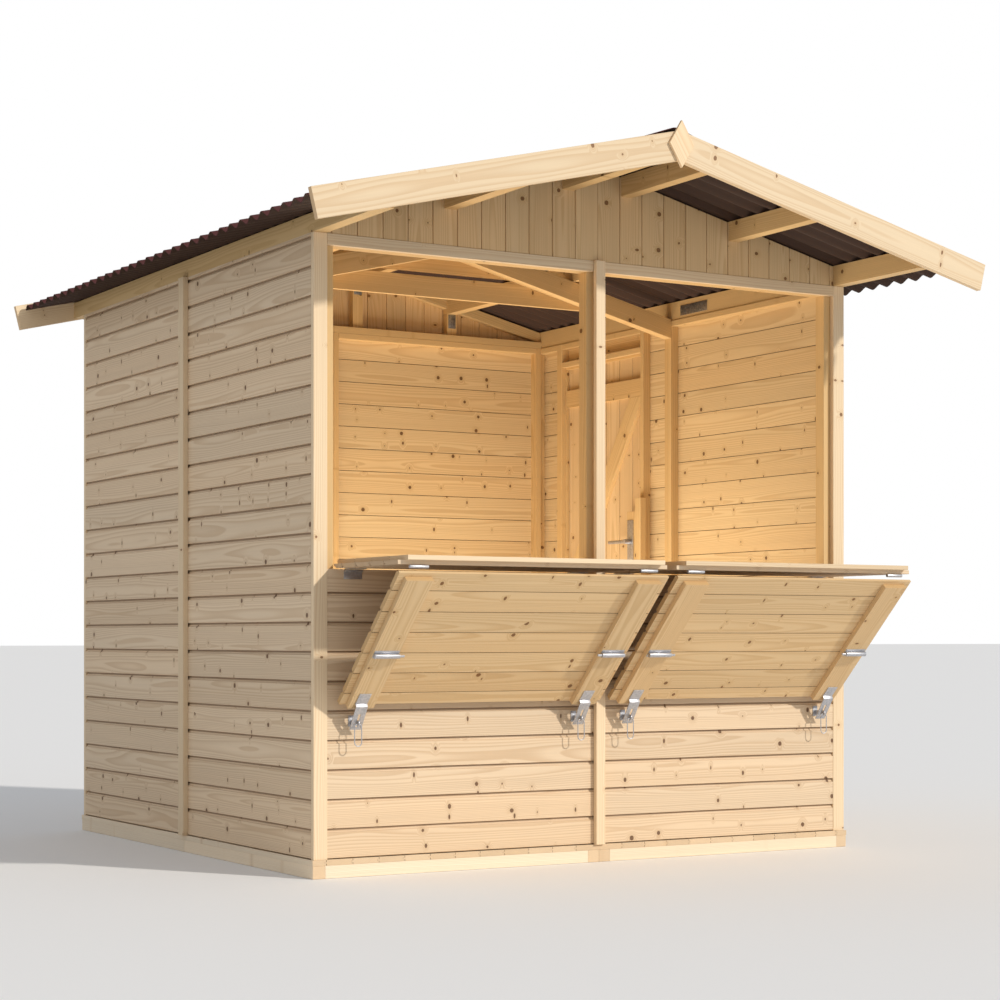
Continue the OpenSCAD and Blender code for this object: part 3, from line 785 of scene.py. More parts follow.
class Forge:
    """Collects steel pieces in one object."""

    def __init__(self, name: str) -> None:
        """Starts an empty collection.

        Args:
            name: Name of the object.
        """
        self.name = name
        self.bm = bmesh.new()

    def from_node(self, node: bpy.types.Object, size: float) -> None:
        """Adds a CAD node's own shape with eased edges.

        Args:
            node: CAD node at rest.
            size: Rounding of the edges.
        """
        piece = solid_copy(node)
        flatten(piece)
        ease(piece, size)
        join(self.bm, piece, Matrix.Identity(4))

    def plate(self, points: Sequence[Point], thickness: float, place: Matrix) -> None:
        """Adds a flat plate with eased edges.

        Args:
            points: Outline in the local XY plane.
            thickness: Extent along local Z.
            place: Where it goes.
        """
        piece = bmesh.new()
        outline(piece, points, thickness)
        ease(piece, 0.4 * MM)
        join(self.bm, piece, place)

    def screw(self, at: Vector, normal: Vector, radius: float, height: float) -> None:
        """Adds a pan head with a socket.

        Args:
            at: Point on the face that it is driven into.
            normal: Direction out of that face.
            radius: Radius of the head.
            height: How far it stands out.
        """
        # Shares of the radius for the head's top and the rim of its socket, then of its height
        top_share, rim_share, socket_share, sunk_share = 0.82, 0.42, 0.7, 0.45
        piece = bmesh.new()
        bmesh.ops.create_cone(
            piece, cap_ends=True, segments=16, radius1=radius, radius2=radius * top_share, depth=height
        )
        top = max(piece.faces, key=lambda f: f.calc_center_median().z)
        bmesh.ops.inset_region(piece, faces=[top], thickness=radius * rim_share)
        bmesh.ops.translate(piece, verts=list(top.verts), vec=(0, 0, -socket_share * height))
        turn = normal.to_track_quat("Z", "Y").to_matrix().to_4x4()
        join(self.bm, piece, Matrix.Translation(at + normal * height * sunk_share) @ turn)

    def finish(self, material: bpy.types.Material, body: Body, node: str) -> None:
        """Makes one placed object of a material and a body, in place of a CAD node.

        Args:
            material: Its finish.
            body: Body it moves with.
            node: CAD node that it replaces.
        """
        bmesh.ops.recalc_face_normals(self.bm, faces=self.bm.faces)
        obj = to_object(self.bm, self.name, material, weighted=False)
        place_piece(obj, body, [node])


# ---------------------------------------------------------------- shared sizes


@dataclass(frozen=True)
class HutSizes:
    """Sizes that the pieces share, in metres, as in the CAD source."""

    half_w: float = 1030 * MM
    half_d: float = 1000 * MM
    clad_t: float = 16 * MM
    trim_t: float = 18 * MM
    corner_w: float = 47 * MM
    bearer_h: float = 40 * MM
    floor_z: float = 57 * MM
    wall_top: float = 1962 * MM
    base_over: float = 5 * MM
    pitch: float = math.radians(13.6)
    eave_rise: float = 60 * MM
    eave_over: float = 190 * MM
    line_z: float = 60.4 * MM
    board: float = 90.15 * MM
    counter_z: float = 943.5 * MM
    doorway: Point = (190 * MM, 770 * MM)
    door_top: float = 1863 * MM
    door_gap: float = 6 * MM
    door_t: float = 18 * MM

    @property
    def frame_y(self) -> float:
        """Outer face of the front and back frames."""
        return self.half_d - self.trim_t

    @property
    def side_in(self) -> float:
        """Inner face of the side walls' boards."""
        return self.half_w - self.clad_t

    @property
    def slope(self) -> float:
        """Rise of the roof over its run."""
        return math.tan(self.pitch)

    @property
    def apex_z(self) -> float:
        """Underside of the sheets over the ridge line."""
        return self.wall_top + self.eave_rise + self.half_w * self.slope

    def sheet_z(self, x: float) -> float:
        """Height of the sheets' underside at a distance from the ridge line."""
        return self.apex_z - abs(x) * self.slope


SIZES = HutSizes()


# ---------------------------------------------------------------- boarded panels


@dataclass(frozen=True)
class Shiplap:
    """Tongued weatherboard with a cove along its top edge and a lip along its bottom edge."""

    pitch: float = SIZES.board
    thickness: float = SIZES.clad_t
    cove_h: float = 9 * MM
    cove_run: float = 1.0 * MM
    shelf: float = 9 * MM
    gap: float = 2.6 * MM
    inner_gap: float = 2.2 * MM
    tongue: Point = (4.2 * MM, 7.8 * MM)
    tongue_l: float = 6 * MM
    arris: float = 0.3 * MM
    chamfer: float = 1.0 * MM
    fit: float = 0.2 * MM
    cove_steps: int = 5

    def hidden(self, first: bool = False, last: bool = False) -> JointFaces:
        """Tells which faces lie in a joint.

        Args:
            first: Whether the board's lower edge is free.
            last: Whether its upper edge is free.

        Returns:
            The faces.
        """
        start = 3 * MM if first else -FAR
        end = self.pitch - 8 * MM if last else FAR
        return JointFaces(self.arris, self.shelf + 0.6 * MM, start, end)

    def section(self, tongued: bool = True, grooved: bool = True) -> list[Point]:
        """Draws the board's section: X up the wall, Y outwards.

        Args:
            tongued: Whether there is a tongue along the top.
            grooved: Whether there is a groove along the bottom.

        Returns:
            The outline, anticlockwise.
        """
        p, t, fit = self.pitch, self.thickness, self.fit
        low, high = self.tongue
        top, edge, reach = p - self.inner_gap, p - self.gap, p + self.tongue_l
        points = [(self.arris, 0.0), (top, 0.0)]
        if tongued:
            points += [(top, low), (reach, low), (reach, high), (edge, high)]
        else:
            points += [(top, high), (edge, high)]
        flat = edge - self.cove_run
        points += [(edge, self.shelf), (flat, self.shelf)]
        for i in range(1, self.cove_steps + 1):
            angle = math.radians(90 / self.cove_steps * i)
            rise = (t - self.shelf) * (1 - math.cos(angle))
            points.append((flat - self.cove_h * math.sin(angle), self.shelf + rise))
        points += [(self.chamfer, t), (0.0, t - self.chamfer)]
        if grooved:
            depth = self.tongue_l + 0.6 * MM
            low, high = low - fit, high + fit
            points += [(0.0, high), (depth, high), (depth, low), (self.arris, low)]
        return points


@dataclass(frozen=True)
class WallPanel:
    """A panel of horizontal boards in an upright plane."""

    corner: Vector
    along: Vector
    out: Vector
    length: float
    low: float
    high: float
    profile: Shiplap = Shiplap()
    datum: float = SIZES.line_z
    # Height of the thinnest strip that is made, and of one too thin to be fixed over a tongue
    thinnest: float = 4 * MM
    spare: float = 7 * MM

    def build(self, timber: Timber) -> None:
        """Adds the panel's boards.

        Args:
            timber: Collection they go into.
        """
        board, pitch, t = self.profile, self.profile.pitch, self.profile.thickness
        c = board.chamfer
        run = Z.cross(self.out)
        start = self.corner + (self.along * self.length if run.dot(self.along) < 0 else Vector())
        first = math.floor((self.low - self.datum) / pitch + SLACK)
        row = first
        while self.datum + row * pitch < self.high - SLACK:
            z = self.datum + row * pitch
            z_next = z + pitch
            place = basis(Z, self.out, start + Z * (max(z, self.low) - start.z))
            if z < self.low - SLACK or z_next > self.high + SLACK:
                # A board sawn to a strip at the top or the foot of the panel
                height = min(z_next, self.high) - max(z, self.low)
                if height > self.thinnest:
                    section = [(board.arris, 0), (height, 0), (height, t), (c, t), (0, t - c)]
                    section.append((0, 0.1 * MM))
                    timber.prism(section, self.length, place)
            else:
                last = z_next + pitch > self.high + SLACK and self.high - z_next < self.spare
                section = board.section(tongued=not last, grooved=z > self.low + 1 * MM)
                hidden = board.hidden(row == first, last)
                timber.prism(section, self.length, place, hidden=hidden)
            row += 1


@dataclass(frozen=True)
class Cladding:
    """Weatherboards of the four walls."""

    joint: float = 0.4 * MM
    below_counter: float = 2.5 * MM

    def side(self, sign: int, spans: Sequence[tuple[float, float, float]], name: str) -> Timber:
        """Boards one side wall.

        Args:
            sign: -1 for the left wall, 1 for the right one.
            spans: Start, end and foot of each panel.
            name: Name of the object.

        Returns:
            The collection.
        """
        timber = Timber(name, 11 + sign)
        for y0, y1, low in spans:
            corner = Vector((sign * SIZES.side_in, y0, 0))
            WallPanel(corner, Y, sign * X, y1 - y0, low, SIZES.wall_top).build(timber)
        return timber

    def end(self, sign: int, high: float, name: str) -> Timber:
        """Boards the front or the back wall.

        Args:
            sign: -1 for the front, 1 for the back.
            high: Top of the boards.
            name: Name of the object.

        Returns:
            The collection.
        """
        timber = Timber(name, 31 + sign)
        width = SIZES.half_w - SIZES.corner_w
        for x0 in (-width, self.joint / 2):
            corner = Vector((x0, sign * SIZES.frame_y, 0))
            WallPanel(corner, X, sign * Y, width - self.joint / 2, SIZES.floor_z, high).build(timber)
        return timber

    def build(self, finishes: Finishes) -> None:
        """Makes the four walls.

        Args:
            finishes: Finishes of the hut.
        """
        y, half, foot, top = SIZES.frame_y, self.joint / 2, SIZES.floor_z, SIZES.wall_top
        d0, d1 = SIZES.doorway
        whole = [(-y, -half, foot), (half, y, foot)]
        parts = [
            (-y, -half, foot), (half, d0, foot), (d1, y, foot), (d0 + half, d1 - half, SIZES.door_top),
        ]
        walls = (
            (self.side(-1, whole, "left_wall_boards"), "left_wall"),
            (self.side(1, parts, "right_wall_boards"), "right_wall"),
            (self.end(1, top, "back_wall_boards"), "back_wall"),
            (self.end(-1, SIZES.counter_z - self.below_counter, "front_wall_boards"), "front_wall"),
        )
        for timber, node in walls:
            timber.finish(finishes.boards, Slot.OUTSIDE, Body.HUT, node)


@dataclass(frozen=True)
class Gables:
    """Upright boards in the two gables, cut to the slope of the sheets."""

    pitch: float = 88 * MM
    gap: float = 2.6 * MM
    chamfer: float = 1.2 * MM
    clearance: float = 2.5 * MM
    tongue_t: float = 5 * MM
    edge: float = 985 * MM
    lap: float = 0.3 * MM
    thinnest: float = 5 * MM
    middle: float = 0.4 * MM

    def half(self, timber: Timber, sign: int, y0: float, start: float) -> None:
        """Boards half a gable.

        Args:
            timber: Collection the boards go into.
            sign: Side of the ridge line.
            y0: Lower Y of the boards.
            start: Distance of the first edge from the ridge line.
        """
        x, low, t = start, SIZES.wall_top, SIZES.clad_t
        edge = self.edge - 0.5 * MM
        tongue_y = y0 + (t - self.tongue_t) / 2
        while x < edge - self.thinnest:
            x1 = min(x + self.pitch - self.gap, edge)
            z0 = SIZES.sheet_z(x) - self.clearance - low
            z1 = SIZES.sheet_z(x1) - self.clearance - low
            # Local X runs up the board, local Y across it, local Z through it
            near, far = (x, x1) if sign > 0 else (-x1, -x)
            left, right = (z0, z1) if sign > 0 else (z1, z0)
            points = [(0, near - far), (right, near - far), (left, 0), (0, 0)]
            place = basis(Z, -X, Vector((near, y0 + t, low)))
            timber.prism(points, t, place, self.chamfer, Axis.X)
            if x1 < edge:
                a = sorted((sign * x1, sign * (x1 + self.gap)))
                timber.upright_box(
                    (a[0] - self.lap, tongue_y, low),
                    (a[1] + self.lap, tongue_y + self.tongue_t, low + z1 - 1 * MM),
                )
            x += self.pitch

    def build(self, finishes: Finishes) -> None:
        """Makes both gables.

        Args:
            finishes: Finishes of the hut.
        """
        for name, y0 in (("front_gable", -SIZES.frame_y - SIZES.clad_t), ("back_gable", SIZES.frame_y)):
            timber = Timber(name + "_boards", 47 + len(name))
            self.half(timber, -1, y0, self.middle)
            self.half(timber, 1, y0, self.middle)
            # The warmer board finish: painted warm bounce light on the gables
            timber.finish(finishes.inner, Slot.OUTSIDE, Body.HUT, name)


@dataclass(frozen=True)
class PlainTimber:
    """Nodes whose solids are single pieces of timber: eased arrises and a grain of their own."""

    arris: float = 1.3 * MM
    first_seed: int = 108
    seed_step: int = 7

    def build(self, frame: dict, finishes: Finishes) -> None:
        """Makes one object for each of these nodes.

        Args:
            frame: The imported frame.
            finishes: Finishes of the hut.
        """
        framing = (
            "left_frame right_frame back_frame front_frame gable_posts purlins rafters collar_tie"
            " keeper_block door_stops"
        )
        trims = "corner_trims cover_battens header_trims bargeboards finials"
        groups = (
            # Framing timber, whose warmth is partly painted warm bounce light
            (framing, finishes.framing, Slot.FRAME, Body.HUT),
            (trims, finishes.trims, Slot.TRIM, Body.HUT),
            # The warmer board finish, whose warmth is painted warm bounce light
            ("hatch_battens", finishes.inner, Slot.TRIM, Body.HUT),
            ("bearers base_rails", finishes.base, Slot.BASE, Body.HUT),
            ("door_ledges door_braces", finishes.framing, Slot.FRAME, Body.DOOR),
        )
        seed = self.first_seed
        for nodes, material, slot, body in groups:
            for node in nodes.split():
                timber = Timber(node + "_timber", seed)
                timber.from_node(frame["nodes"][node], self.arris)
                timber.finish(material, slot, body, node)
                seed += self.seed_step


@dataclass(frozen=True)
class Floor:
    """Tongued floor boards that run from front to back."""

    pitch: float = 90 * MM
    gap: float = 1.6 * MM
    tongue: float = 4.5 * MM
    tongue_z: Point = (6 * MM, 11 * MM)
    fit: float = 0.2 * MM
    middle: float = 0.2 * MM
    overlap: float = 1 * MM
    thinnest: float = 8 * MM

    def build(self, finishes: Finishes) -> None:
        """Makes the floor.

        Args:
            finishes: Finishes of the hut.
        """
        timber = Timber("floor_boards", 71)
        edge = SIZES.half_w + SIZES.base_over + self.overlap
        end = SIZES.half_d + SIZES.base_over + self.overlap
        for sign in (-1, 1):
            x = self.middle
            while x < edge - self.thinnest:
                wide = min(self.pitch - self.gap, edge - x)
                first, last = x < 1 * MM, x + wide > edge - 1 * MM
                # Local X runs outwards from the middle, local Y up; the right half starts at the
                # back and the left half at the front
                place = basis(sign * X, Z, Vector((sign * x, sign * end, SIZES.bearer_h)))
                section, hidden = self.section(wide, first, last)
                timber.prism(section, 2 * end, place, hidden=hidden)
                x += self.pitch
        timber.finish(finishes.base, Slot.BASE, Body.HUT, "floor")

    def section(self, wide: float, first: bool, last: bool) -> tuple[list[Point], JointFaces]:
        """Draws one board's section: X across it, Y up.

        Args:
            wide: Width that shows.
            first: Whether it has no groove.
            last: Whether it has no tongue.

        Returns:
            The outline, anticlockwise, and which faces lie in a joint.
        """
        thick = SIZES.floor_z - SIZES.bearer_h
        low, high = self.tongue_z
        points = [(0.0, 0.0), (wide, 0.0)]
        if not last:
            reach = wide + self.gap + self.tongue
            points += [(wide, low), (reach, low), (reach, high), (wide, high)]
        points += [(wide, thick), (0.0, thick)]
        if not first:
            depth, low, high = self.tongue + 0.5 * MM, low - self.fit, high + self.fit
            points += [(0.0, high), (depth, high), (depth, low), (0.0, low)]
        start = 2 * MM if first else -FAR
        end = wide - 2 * MM if last else FAR
        return points, JointFaces(1 * MM, thick - 1 * MM, start, end)


# ---------------------------------------------------------------- roof


@dataclass(frozen=True)
class Roof:
    """Corrugated sheets, their fixings and the ridge cap."""

    wave: float = 76 * MM
    height: float = 18 * MM
    thickness: float = 2.6 * MM
    seat: float = 0.3 * MM
    trough_y: float = -1008 * MM
    span: Point = (-1441.7 * MM, 1109.7 * MM)
    steps: int = 12
    cap_wing: float = 165 * MM
    cap_pitch: float = math.radians(19.5)
    cap_bend: float = 20 * MM
    ridge_gap: float = 1 * MM
    fixing_rows: Point = (1012 * MM, 556 * MM)
    fixing_r: float = 8 * MM
    fixing_sunk: float = 0.8 * MM
    fixing_edge: float = 20 * MM

    def rise(self, y: float) -> float:
        """Height of the sheet's underside over the purlins, square to the slope, at a Y."""
        turn = 2 * math.pi * (y - self.trough_y) / self.wave
        return self.seat + self.height / 2 * (1 - math.cos(turn))

    def slope_place(self, sign: int) -> Matrix:
        """Placement of one slope: local X along Y of the row, local Y square to the slope, Z down it.

        Args:
            sign: Side of the ridge line.

        Returns:
            The placement.
        """
        up = Vector((sign * math.sin(SIZES.pitch), 0, math.cos(SIZES.pitch)))
        return basis(Vector((0, sign, 0)), up, Vector((0, 0, SIZES.apex_z)))

    def sheet(self, sign: int, finishes: Finishes) -> None:
        """Makes the sheets of one slope.

        Args:
            sign: Side of the ridge line.
            finishes: Finishes of the hut.
        """
        y0, y1 = self.span
        count = int((y1 - y0) / self.wave * self.steps)
        ys = [y0 + (y1 - y0) * i / count for i in range(count + 1)]
        section = [(sign * y, self.rise(y)) for y in ys]
        section += [(sign * y, self.rise(y) + self.thickness) for y in reversed(ys)]
        if sign < 0:
            section.reverse()
        length = (SIZES.half_w + SIZES.eave_over) / math.cos(SIZES.pitch) - self.ridge_gap
        place = self.slope_place(sign) @ Matrix.Translation((0, 0, self.ridge_gap))
        bm = self.covering(section, length, place)
        side = "right" if sign > 0 else "left"
        obj = to_object(bm, f"roof_{side}_sheets", finishes.roof, weighted=False)
        place_piece(obj, Body.HUT, [f"roof_{side}"])

    @staticmethod
    def covering(section: Sequence[Point], length: float, place: Matrix) -> bmesh.types.BMesh:
        """Makes a sheet and marks the faces that look down.

        Args:
            section: Outline of the section, with local Y up.
            length: Extent along local Z.
            place: Where it goes.

        Returns:
            The mesh.
        """
        bm = bmesh.new()
        under = bm.faces.layers.float.new("under")
        outline(bm, section, length)
        for face in bm.faces:
            face[under] = float(face.normal.y < -0.2)
        bmesh.ops.transform(bm, matrix=place, verts=bm.verts)
        return bm

    def cap(self, finishes: Finishes) -> None:
        """Makes the ridge cap and the fixings of the sheets.

        Args:
            finishes: Finishes of the hut.
        """
        y0, y1 = self.span
        crest = (self.height + self.thickness + self.seat) / math.cos(SIZES.pitch) + self.seat
        wing, t, bend = self.cap_wing, self.thickness, self.cap_bend
        low, rise = SIZES.sheet_z(wing) + crest, math.tan(self.cap_pitch)
        peak = low + wing * rise
        # One wing down from the rounded ridge, then the other
        half = [(bend / 2, peak - bend * rise * 0.62), (bend, peak - bend * rise), (wing, low)]
        under = [(-x, z) for x, z in reversed(half)] + [(0, peak - bend * rise * 0.5)] + half
        section = under + [(x, z + t) for x, z in reversed(under)]
        place = basis(X, Z, Vector((0, y1, 0)))
        bm = self.covering(section, y1 - y0, place)
        for sign in (-1, 1):
            for row in self.fixing_rows:
                y = self.trough_y + self.wave / 2 - 5 * self.wave
                while y < y1 - self.fixing_edge:
                    out = self.rise(y) + self.thickness - self.fixing_sunk
                    at = Matrix.Translation((sign * y, out, row / math.cos(SIZES.pitch)))
                    made = bmesh.ops.create_uvsphere(
                        bm, u_segments=12, v_segments=6, radius=self.fixing_r
                    )["verts"]
                    bmesh.ops.scale(bm, vec=(1, 0.5, 1), verts=made)
                    bmesh.ops.transform(bm, matrix=self.slope_place(sign) @ at, verts=made)
                    y += 2 * self.wave
        obj = to_object(bm, "ridge_cap_sheet", finishes.roof, weighted=False)
        place_piece(obj, Body.HUT, ["ridge_cap"])

    def build(self, finishes: Finishes) -> None:
        """Makes the roof covering.

        Args:
            finishes: Finishes of the hut.
        """
        self.sheet(-1, finishes)
        self.sheet(1, finishes)
        self.cap(finishes)


# ---------------------------------------------------------------- hatches and door


@dataclass(frozen=True)
class Hatches:
    """Boards of the folded-out counters and of the leaves that hang from them."""

    x0: float = 18 * MM
    width: float = 945 * MM
    out: float = 417 * MM
    board_t: float = 13 * MM
    top_t: float = 14 * MM
    top_inset: float = 22 * MM
    top_lip: float = 21 * MM
    leaf_l: float = 553 * MM
    leaf_t: float = 16 * MM
    lean: float = math.radians(45)
    gap: float = 12 * MM
    leaf_pitch: float = 86.2 * MM
    # The lowest board of a leaf is this much wider than what whole boards leave
    foot_share: float = 1.4
    top_pitch: float = 114 * MM
    top_chamfer: float = 0.9 * MM
    joint: float = 2.0 * MM
    joint_top: float = 1.2 * MM
    thinnest: float = 3 * MM

    def leaf_place(self) -> Matrix:
        """Placement of the hanging leaves: local Y through them, local -Z down their smooth face.

        Returns:
            The placement.
        """
        y = -SIZES.half_d - self.out - self.leaf_t * math.cos(self.lean)
        z = SIZES.counter_z - self.gap - self.leaf_t * math.sin(self.lean)
        return Matrix.Translation((0, y, z)) @ Matrix.Rotation(math.pi / 2 - self.lean, 4, "X")

    def spans(self) -> list[Point]:
        """X ranges of the right and the left hatch."""
        return [(self.x0, self.x0 + self.width), (-self.x0 - self.width, -self.x0)]

    def top(self, timber: Timber, span: Point, y0: float) -> None:
        """Adds the boards on top of one counter.

        Args:
            timber: Collection they go into.
            span: X range of the hatch.
            y0: Front edge of the counter.
        """
        t, c, edge = self.top_t, self.top_chamfer, 2 * MM
        width = self.out + self.top_lip + SIZES.trim_t - edge
        x0, x1 = span[0] + self.top_inset, span[1] - self.top_inset
        t0, t1 = t * 0.35, t * 0.65
        done = 0.0
        while done < width - self.thinnest:
            last = done + self.top_pitch >= width - self.thinnest
            wide = min(self.top_pitch, width - done) - (0.0 if last else self.joint)
            section = [(0, c), (c, 0), (wide - c, 0), (wide, c)]
            if not last:
                reach = wide + self.joint
                section += [(wide, t0), (reach, t0), (reach, t1), (wide, t1)]
            section += [(wide, t - c), (wide - c, t), (c, t), (0, t - c)]
            low = Vector((x0, y0 - self.top_lip + done, SIZES.counter_z + self.board_t))
            start, end = -FAR if done else edge, wide - edge if last else FAR
            hidden = JointFaces(self.joint_top, t - self.joint_top, start, end)
            timber.prism(section, x1 - x0, basis(Y, Z, low), hidden=hidden)
            done += self.top_pitch

    def build(self, finishes: Finishes) -> None:
        """Makes counters, counter tops and hanging leaves.

        Args:
            finishes: Finishes of the hut.
        """
        counters, tops = Timber("counter_planks", 61), Timber("counter_top_planks", 63)
        leaves = Timber("leaf_planks", 67)
        y0 = -SIZES.half_d - self.out
        for span in self.spans():
            self.counter(counters, span, y0)
            self.top(tops, span, y0)
            self.leaf(leaves, span, self.leaf_place())
        counters.finish(finishes.boards, Slot.OUTSIDE, Body.HUT, "counter_boards")
        tops.finish(finishes.trims, Slot.TRIM, Body.HUT, "counter_tops")
        # The warmer board finish, whose warmth is painted warm bounce light
        leaves.finish(finishes.inner, Slot.OUTSIDE, Body.HUT, "hatch_leaves")

    def counter(self, timber: Timber, span: Point, y0: float) -> None:
        """Adds the boards of one folded-out counter, weathered side down.

        Args:
            timber: Collection they go into.
            span: X range.
            y0: Front edge.
        """
        t, y, end = self.board_t, y0, y0 + self.out - self.thinnest
        while y < end - self.thinnest:
            wide = min(SIZES.board, end - y)
            first, last = y == y0, y + wide > end - self.thinnest
            board = Shiplap(wide, t, shelf=7 * MM, tongue=(3.4 * MM, 6.2 * MM), gap=3 * MM)
            frame = basis(Y, -Z, Vector((span[1], y, SIZES.counter_z + t)))
            section = board.section(tongued=not last, grooved=not first)
            timber.prism(section, span[1] - span[0], frame, hidden=board.hidden(first, last))
            y += wide

    def leaf(self, timber: Timber, span: Point, place: Matrix) -> None:
        """Adds the boards of one hanging leaf, smooth side out, weathered side to the wall.

        Args:
            timber: Collection they go into.
            span: X range.
            place: Placement of the leaf.
        """
        edge = 1 * MM
        foot = self.leaf_l - int(self.leaf_l // self.leaf_pitch) * self.leaf_pitch
        low = 0.2 * MM - self.leaf_l
        z, wide = low, foot * self.foot_share
        while z < -edge:
            # The section's X runs up the leaf and its Y from the smooth face to the other
            wide = min(wide, -z)
            frame = basis(Z, Y, Vector((span[1], 0, z)))
            first, last = z == low, z + wide > -edge
            board = Shiplap(pitch=wide)
            section = board.section(tongued=not last, grooved=not first)
            timber.prism(section, span[1] - span[0], place @ frame, hidden=board.hidden(first, last))
            z += wide
            wide = self.leaf_pitch


@dataclass(frozen=True)
class Door:
    """Upright boards of the door."""

    pitch: float = 95 * MM
    joint: float = 2.2 * MM
    chamfer: float = 1.2 * MM

    def build(self, finishes: Finishes) -> None:
        """Makes the door's boards.

        Args:
            finishes: Finishes of the hut.
        """
        timber = Timber("door_planks", 83)
        y0, y1 = SIZES.doorway[0] + SIZES.door_gap, SIZES.doorway[1] - SIZES.door_gap
        z0, z1 = SIZES.floor_z + SIZES.door_gap, SIZES.door_top - SIZES.door_gap
        count = round((y1 - y0) / self.pitch)
        pitch = (y1 - y0) / count
        c, inset, edge, thick = self.chamfer, 6 * MM, 3 * MM, SIZES.door_t
        for i in range(count):
            last = i == count - 1
            wide = pitch - (0.0 if last else self.joint)
            section = [(c, 0), (wide - c, 0), (wide, c)]
            if not last:
                reach = wide + self.joint
                section += [(wide, inset), (reach, inset), (reach, thick - inset), (wide, thick - inset)]
            section += [(wide, thick - c), (wide - c, thick), (c, thick), (0, thick - c), (0, c)]
            start, end = -FAR if i else edge, wide - edge if last else FAR
            hidden = JointFaces(0.9 * c, thick - 0.9 * c, start, end)
            # Local X runs along +Y, local Y outwards along +X, and the board hangs from its top
            place = basis(Y, X, Vector((SIZES.half_w - thick, y0 + i * pitch, z1)))
            timber.prism(section, z1 - z0, place, hidden=hidden)
        # The warmer board finish, whose warmth is painted warm bounce light
        timber.finish(finishes.inner, Slot.OUTSIDE, Body.DOOR, "door_boards")


# ---------------------------------------------------------------- fittings


@dataclass(frozen=True)
class Fittings:
    """Steel fittings of the hut."""

    nodes: dict
    finishes: Finishes
    screw_r: float = 3.0 * MM
    screw_h: float = 0.9 * MM
    arris: float = 0.4 * MM
    plate_arris: float = 0.3 * MM
    thickest_plate: float = 8 * MM
    staple_plate: tuple[float, float, float] = (20 * MM, 2 * MM, 34 * MM)
    staple_foot: float = 2 * MM
    ear_t: float = 3 * MM
    ear_r: float = 8 * MM
    ear_z: float = 14 * MM

    def boxes(self, node: str) -> list[tuple[Vector, Vector]]:
        """Measures the solids of a CAD node.

        Args:
            node: CAD node.

        Returns:
            Lowest and highest corner of each solid.
        """
        bm = solid_copy(self.nodes[node])
        found = []
        for island in islands(bm):
            columns = list(zip(*(v.co for v in island)))
            found.append((Vector([min(c) for c in columns]), Vector([max(c) for c in columns])))
        bm.free()
        return found

    def start(self, node: str, size: float) -> Forge:
        """Starts a fitting from its CAD shape.

        Args:
            node: CAD node.
            size: Rounding of its edges.

        Returns:
            The collection.
        """
        forge = Forge(node + "_steel")
        forge.from_node(self.nodes[node], size)
        return forge

    def screwed_plates(self, node: str, places: Sequence[Point]) -> Forge:
        """Adds screw heads to upright plates that face along X or Y.

        Args:
            node: CAD node of thin plates.
            places: Shares of width and height where the screws sit.

        Returns:
            The collection.
        """
        forge = self.start(node, self.plate_arris)
        for low, high in self.boxes(node):
            size = high - low
            thin = min(range(3), key=lambda i: size[i])
            if thin == 2 or size[thin] > self.thickest_plate:
                continue
            wide = 1 - thin
            out = Vector()
            out[thin] = self.outwards(node, (low[thin] + high[thin]) / 2)
            for u, v in places:
                at = Vector()
                at[wide] = low[wide] + u * size[wide]
                at[2] = low[2] + v * size[2]
                at[thin] = high[thin] if out[thin] > 0 else low[thin]
                forge.screw(at, out, self.screw_r, self.screw_h)
        return forge

    @staticmethod
    def outwards(node: str, place: float) -> float:
        """Tells which way a plate's free face looks.

        Args:
            node: CAD node.
            place: Where the plate is on the axis across it.

        Returns:
            1 or -1.
        """
        inwards = node in ("post_plates", "splice_plates")
        return -1.0 if inwards == (place > 0) else 1.0

    def staples(self) -> Forge:
        """Makes the staple of each hasp: a narrow plate on the boards and an ear with an eye.

        Returns:
            The collection.
        """
        forge = Forge("staples_steel")
        width, plate_t, height = self.staple_plate
        r = self.ear_r
        for low, high in self.boxes("staples"):
            mid, eye = (low.x + high.x) / 2, low.y + r
            half = width / 2
            base = [(-half, 0), (half, 0), (half, height), (-half, height)]
            place = basis(X, Z, Vector((mid, high.y, low.z + self.staple_foot)))
            forge.plate(base, plate_t, place)
            # The ear's outline: X towards the wall, Y up
            reach = high.y - eye
            turns = [math.radians(a) for a in range(20, 180, 20)]
            ear = [(reach, r), (0.0, r)] + [(-r * math.sin(a), r * math.cos(a)) for a in turns]
            ear += [(0.0, -r), (reach, -r)]
            place = basis(Y, Z, Vector((mid - self.ear_t / 2, eye, low.z + self.ear_z)))
            forge.plate(ear, self.ear_t, place)
        return forge

    def build(self) -> None:
        """Makes every fitting."""
        zinc = self.finishes.zinc
        # Where screws sit, in shares of a plate's width and height
        three = ((0.18, 0.68), (0.82, 0.68), (0.5, 0.3))
        four = ((0.2, 0.25), (0.2, 0.75), (0.8, 0.25), (0.8, 0.75))
        ends = ((0.5, 0.06), (0.5, 0.94))
        self.staples().finish(zinc, Body.HUT, "staples")
        self.screwed_plates("wall_hinges", three).finish(zinc, Body.HUT, "wall_hinges")
        for node in "fold_hinges barrel_bolts hasps spring_clips hinge_pins".split():
            self.start(node, self.arris).finish(zinc, Body.HUT, node)
        for node in ("post_plates", "splice_plates"):
            self.screwed_plates(node, four).finish(self.finishes.galvanised, Body.HUT, node)
        self.start("door_straps", self.arris).finish(zinc, Body.DOOR, "door_straps")
        self.screwed_plates("lock_plates", ends).finish(zinc, Body.DOOR, "lock_plates")
        self.start("lever_handle", self.arris).finish(zinc, Body.LEVER, "lever_handle")


# ---------------------------------------------------------------- studio


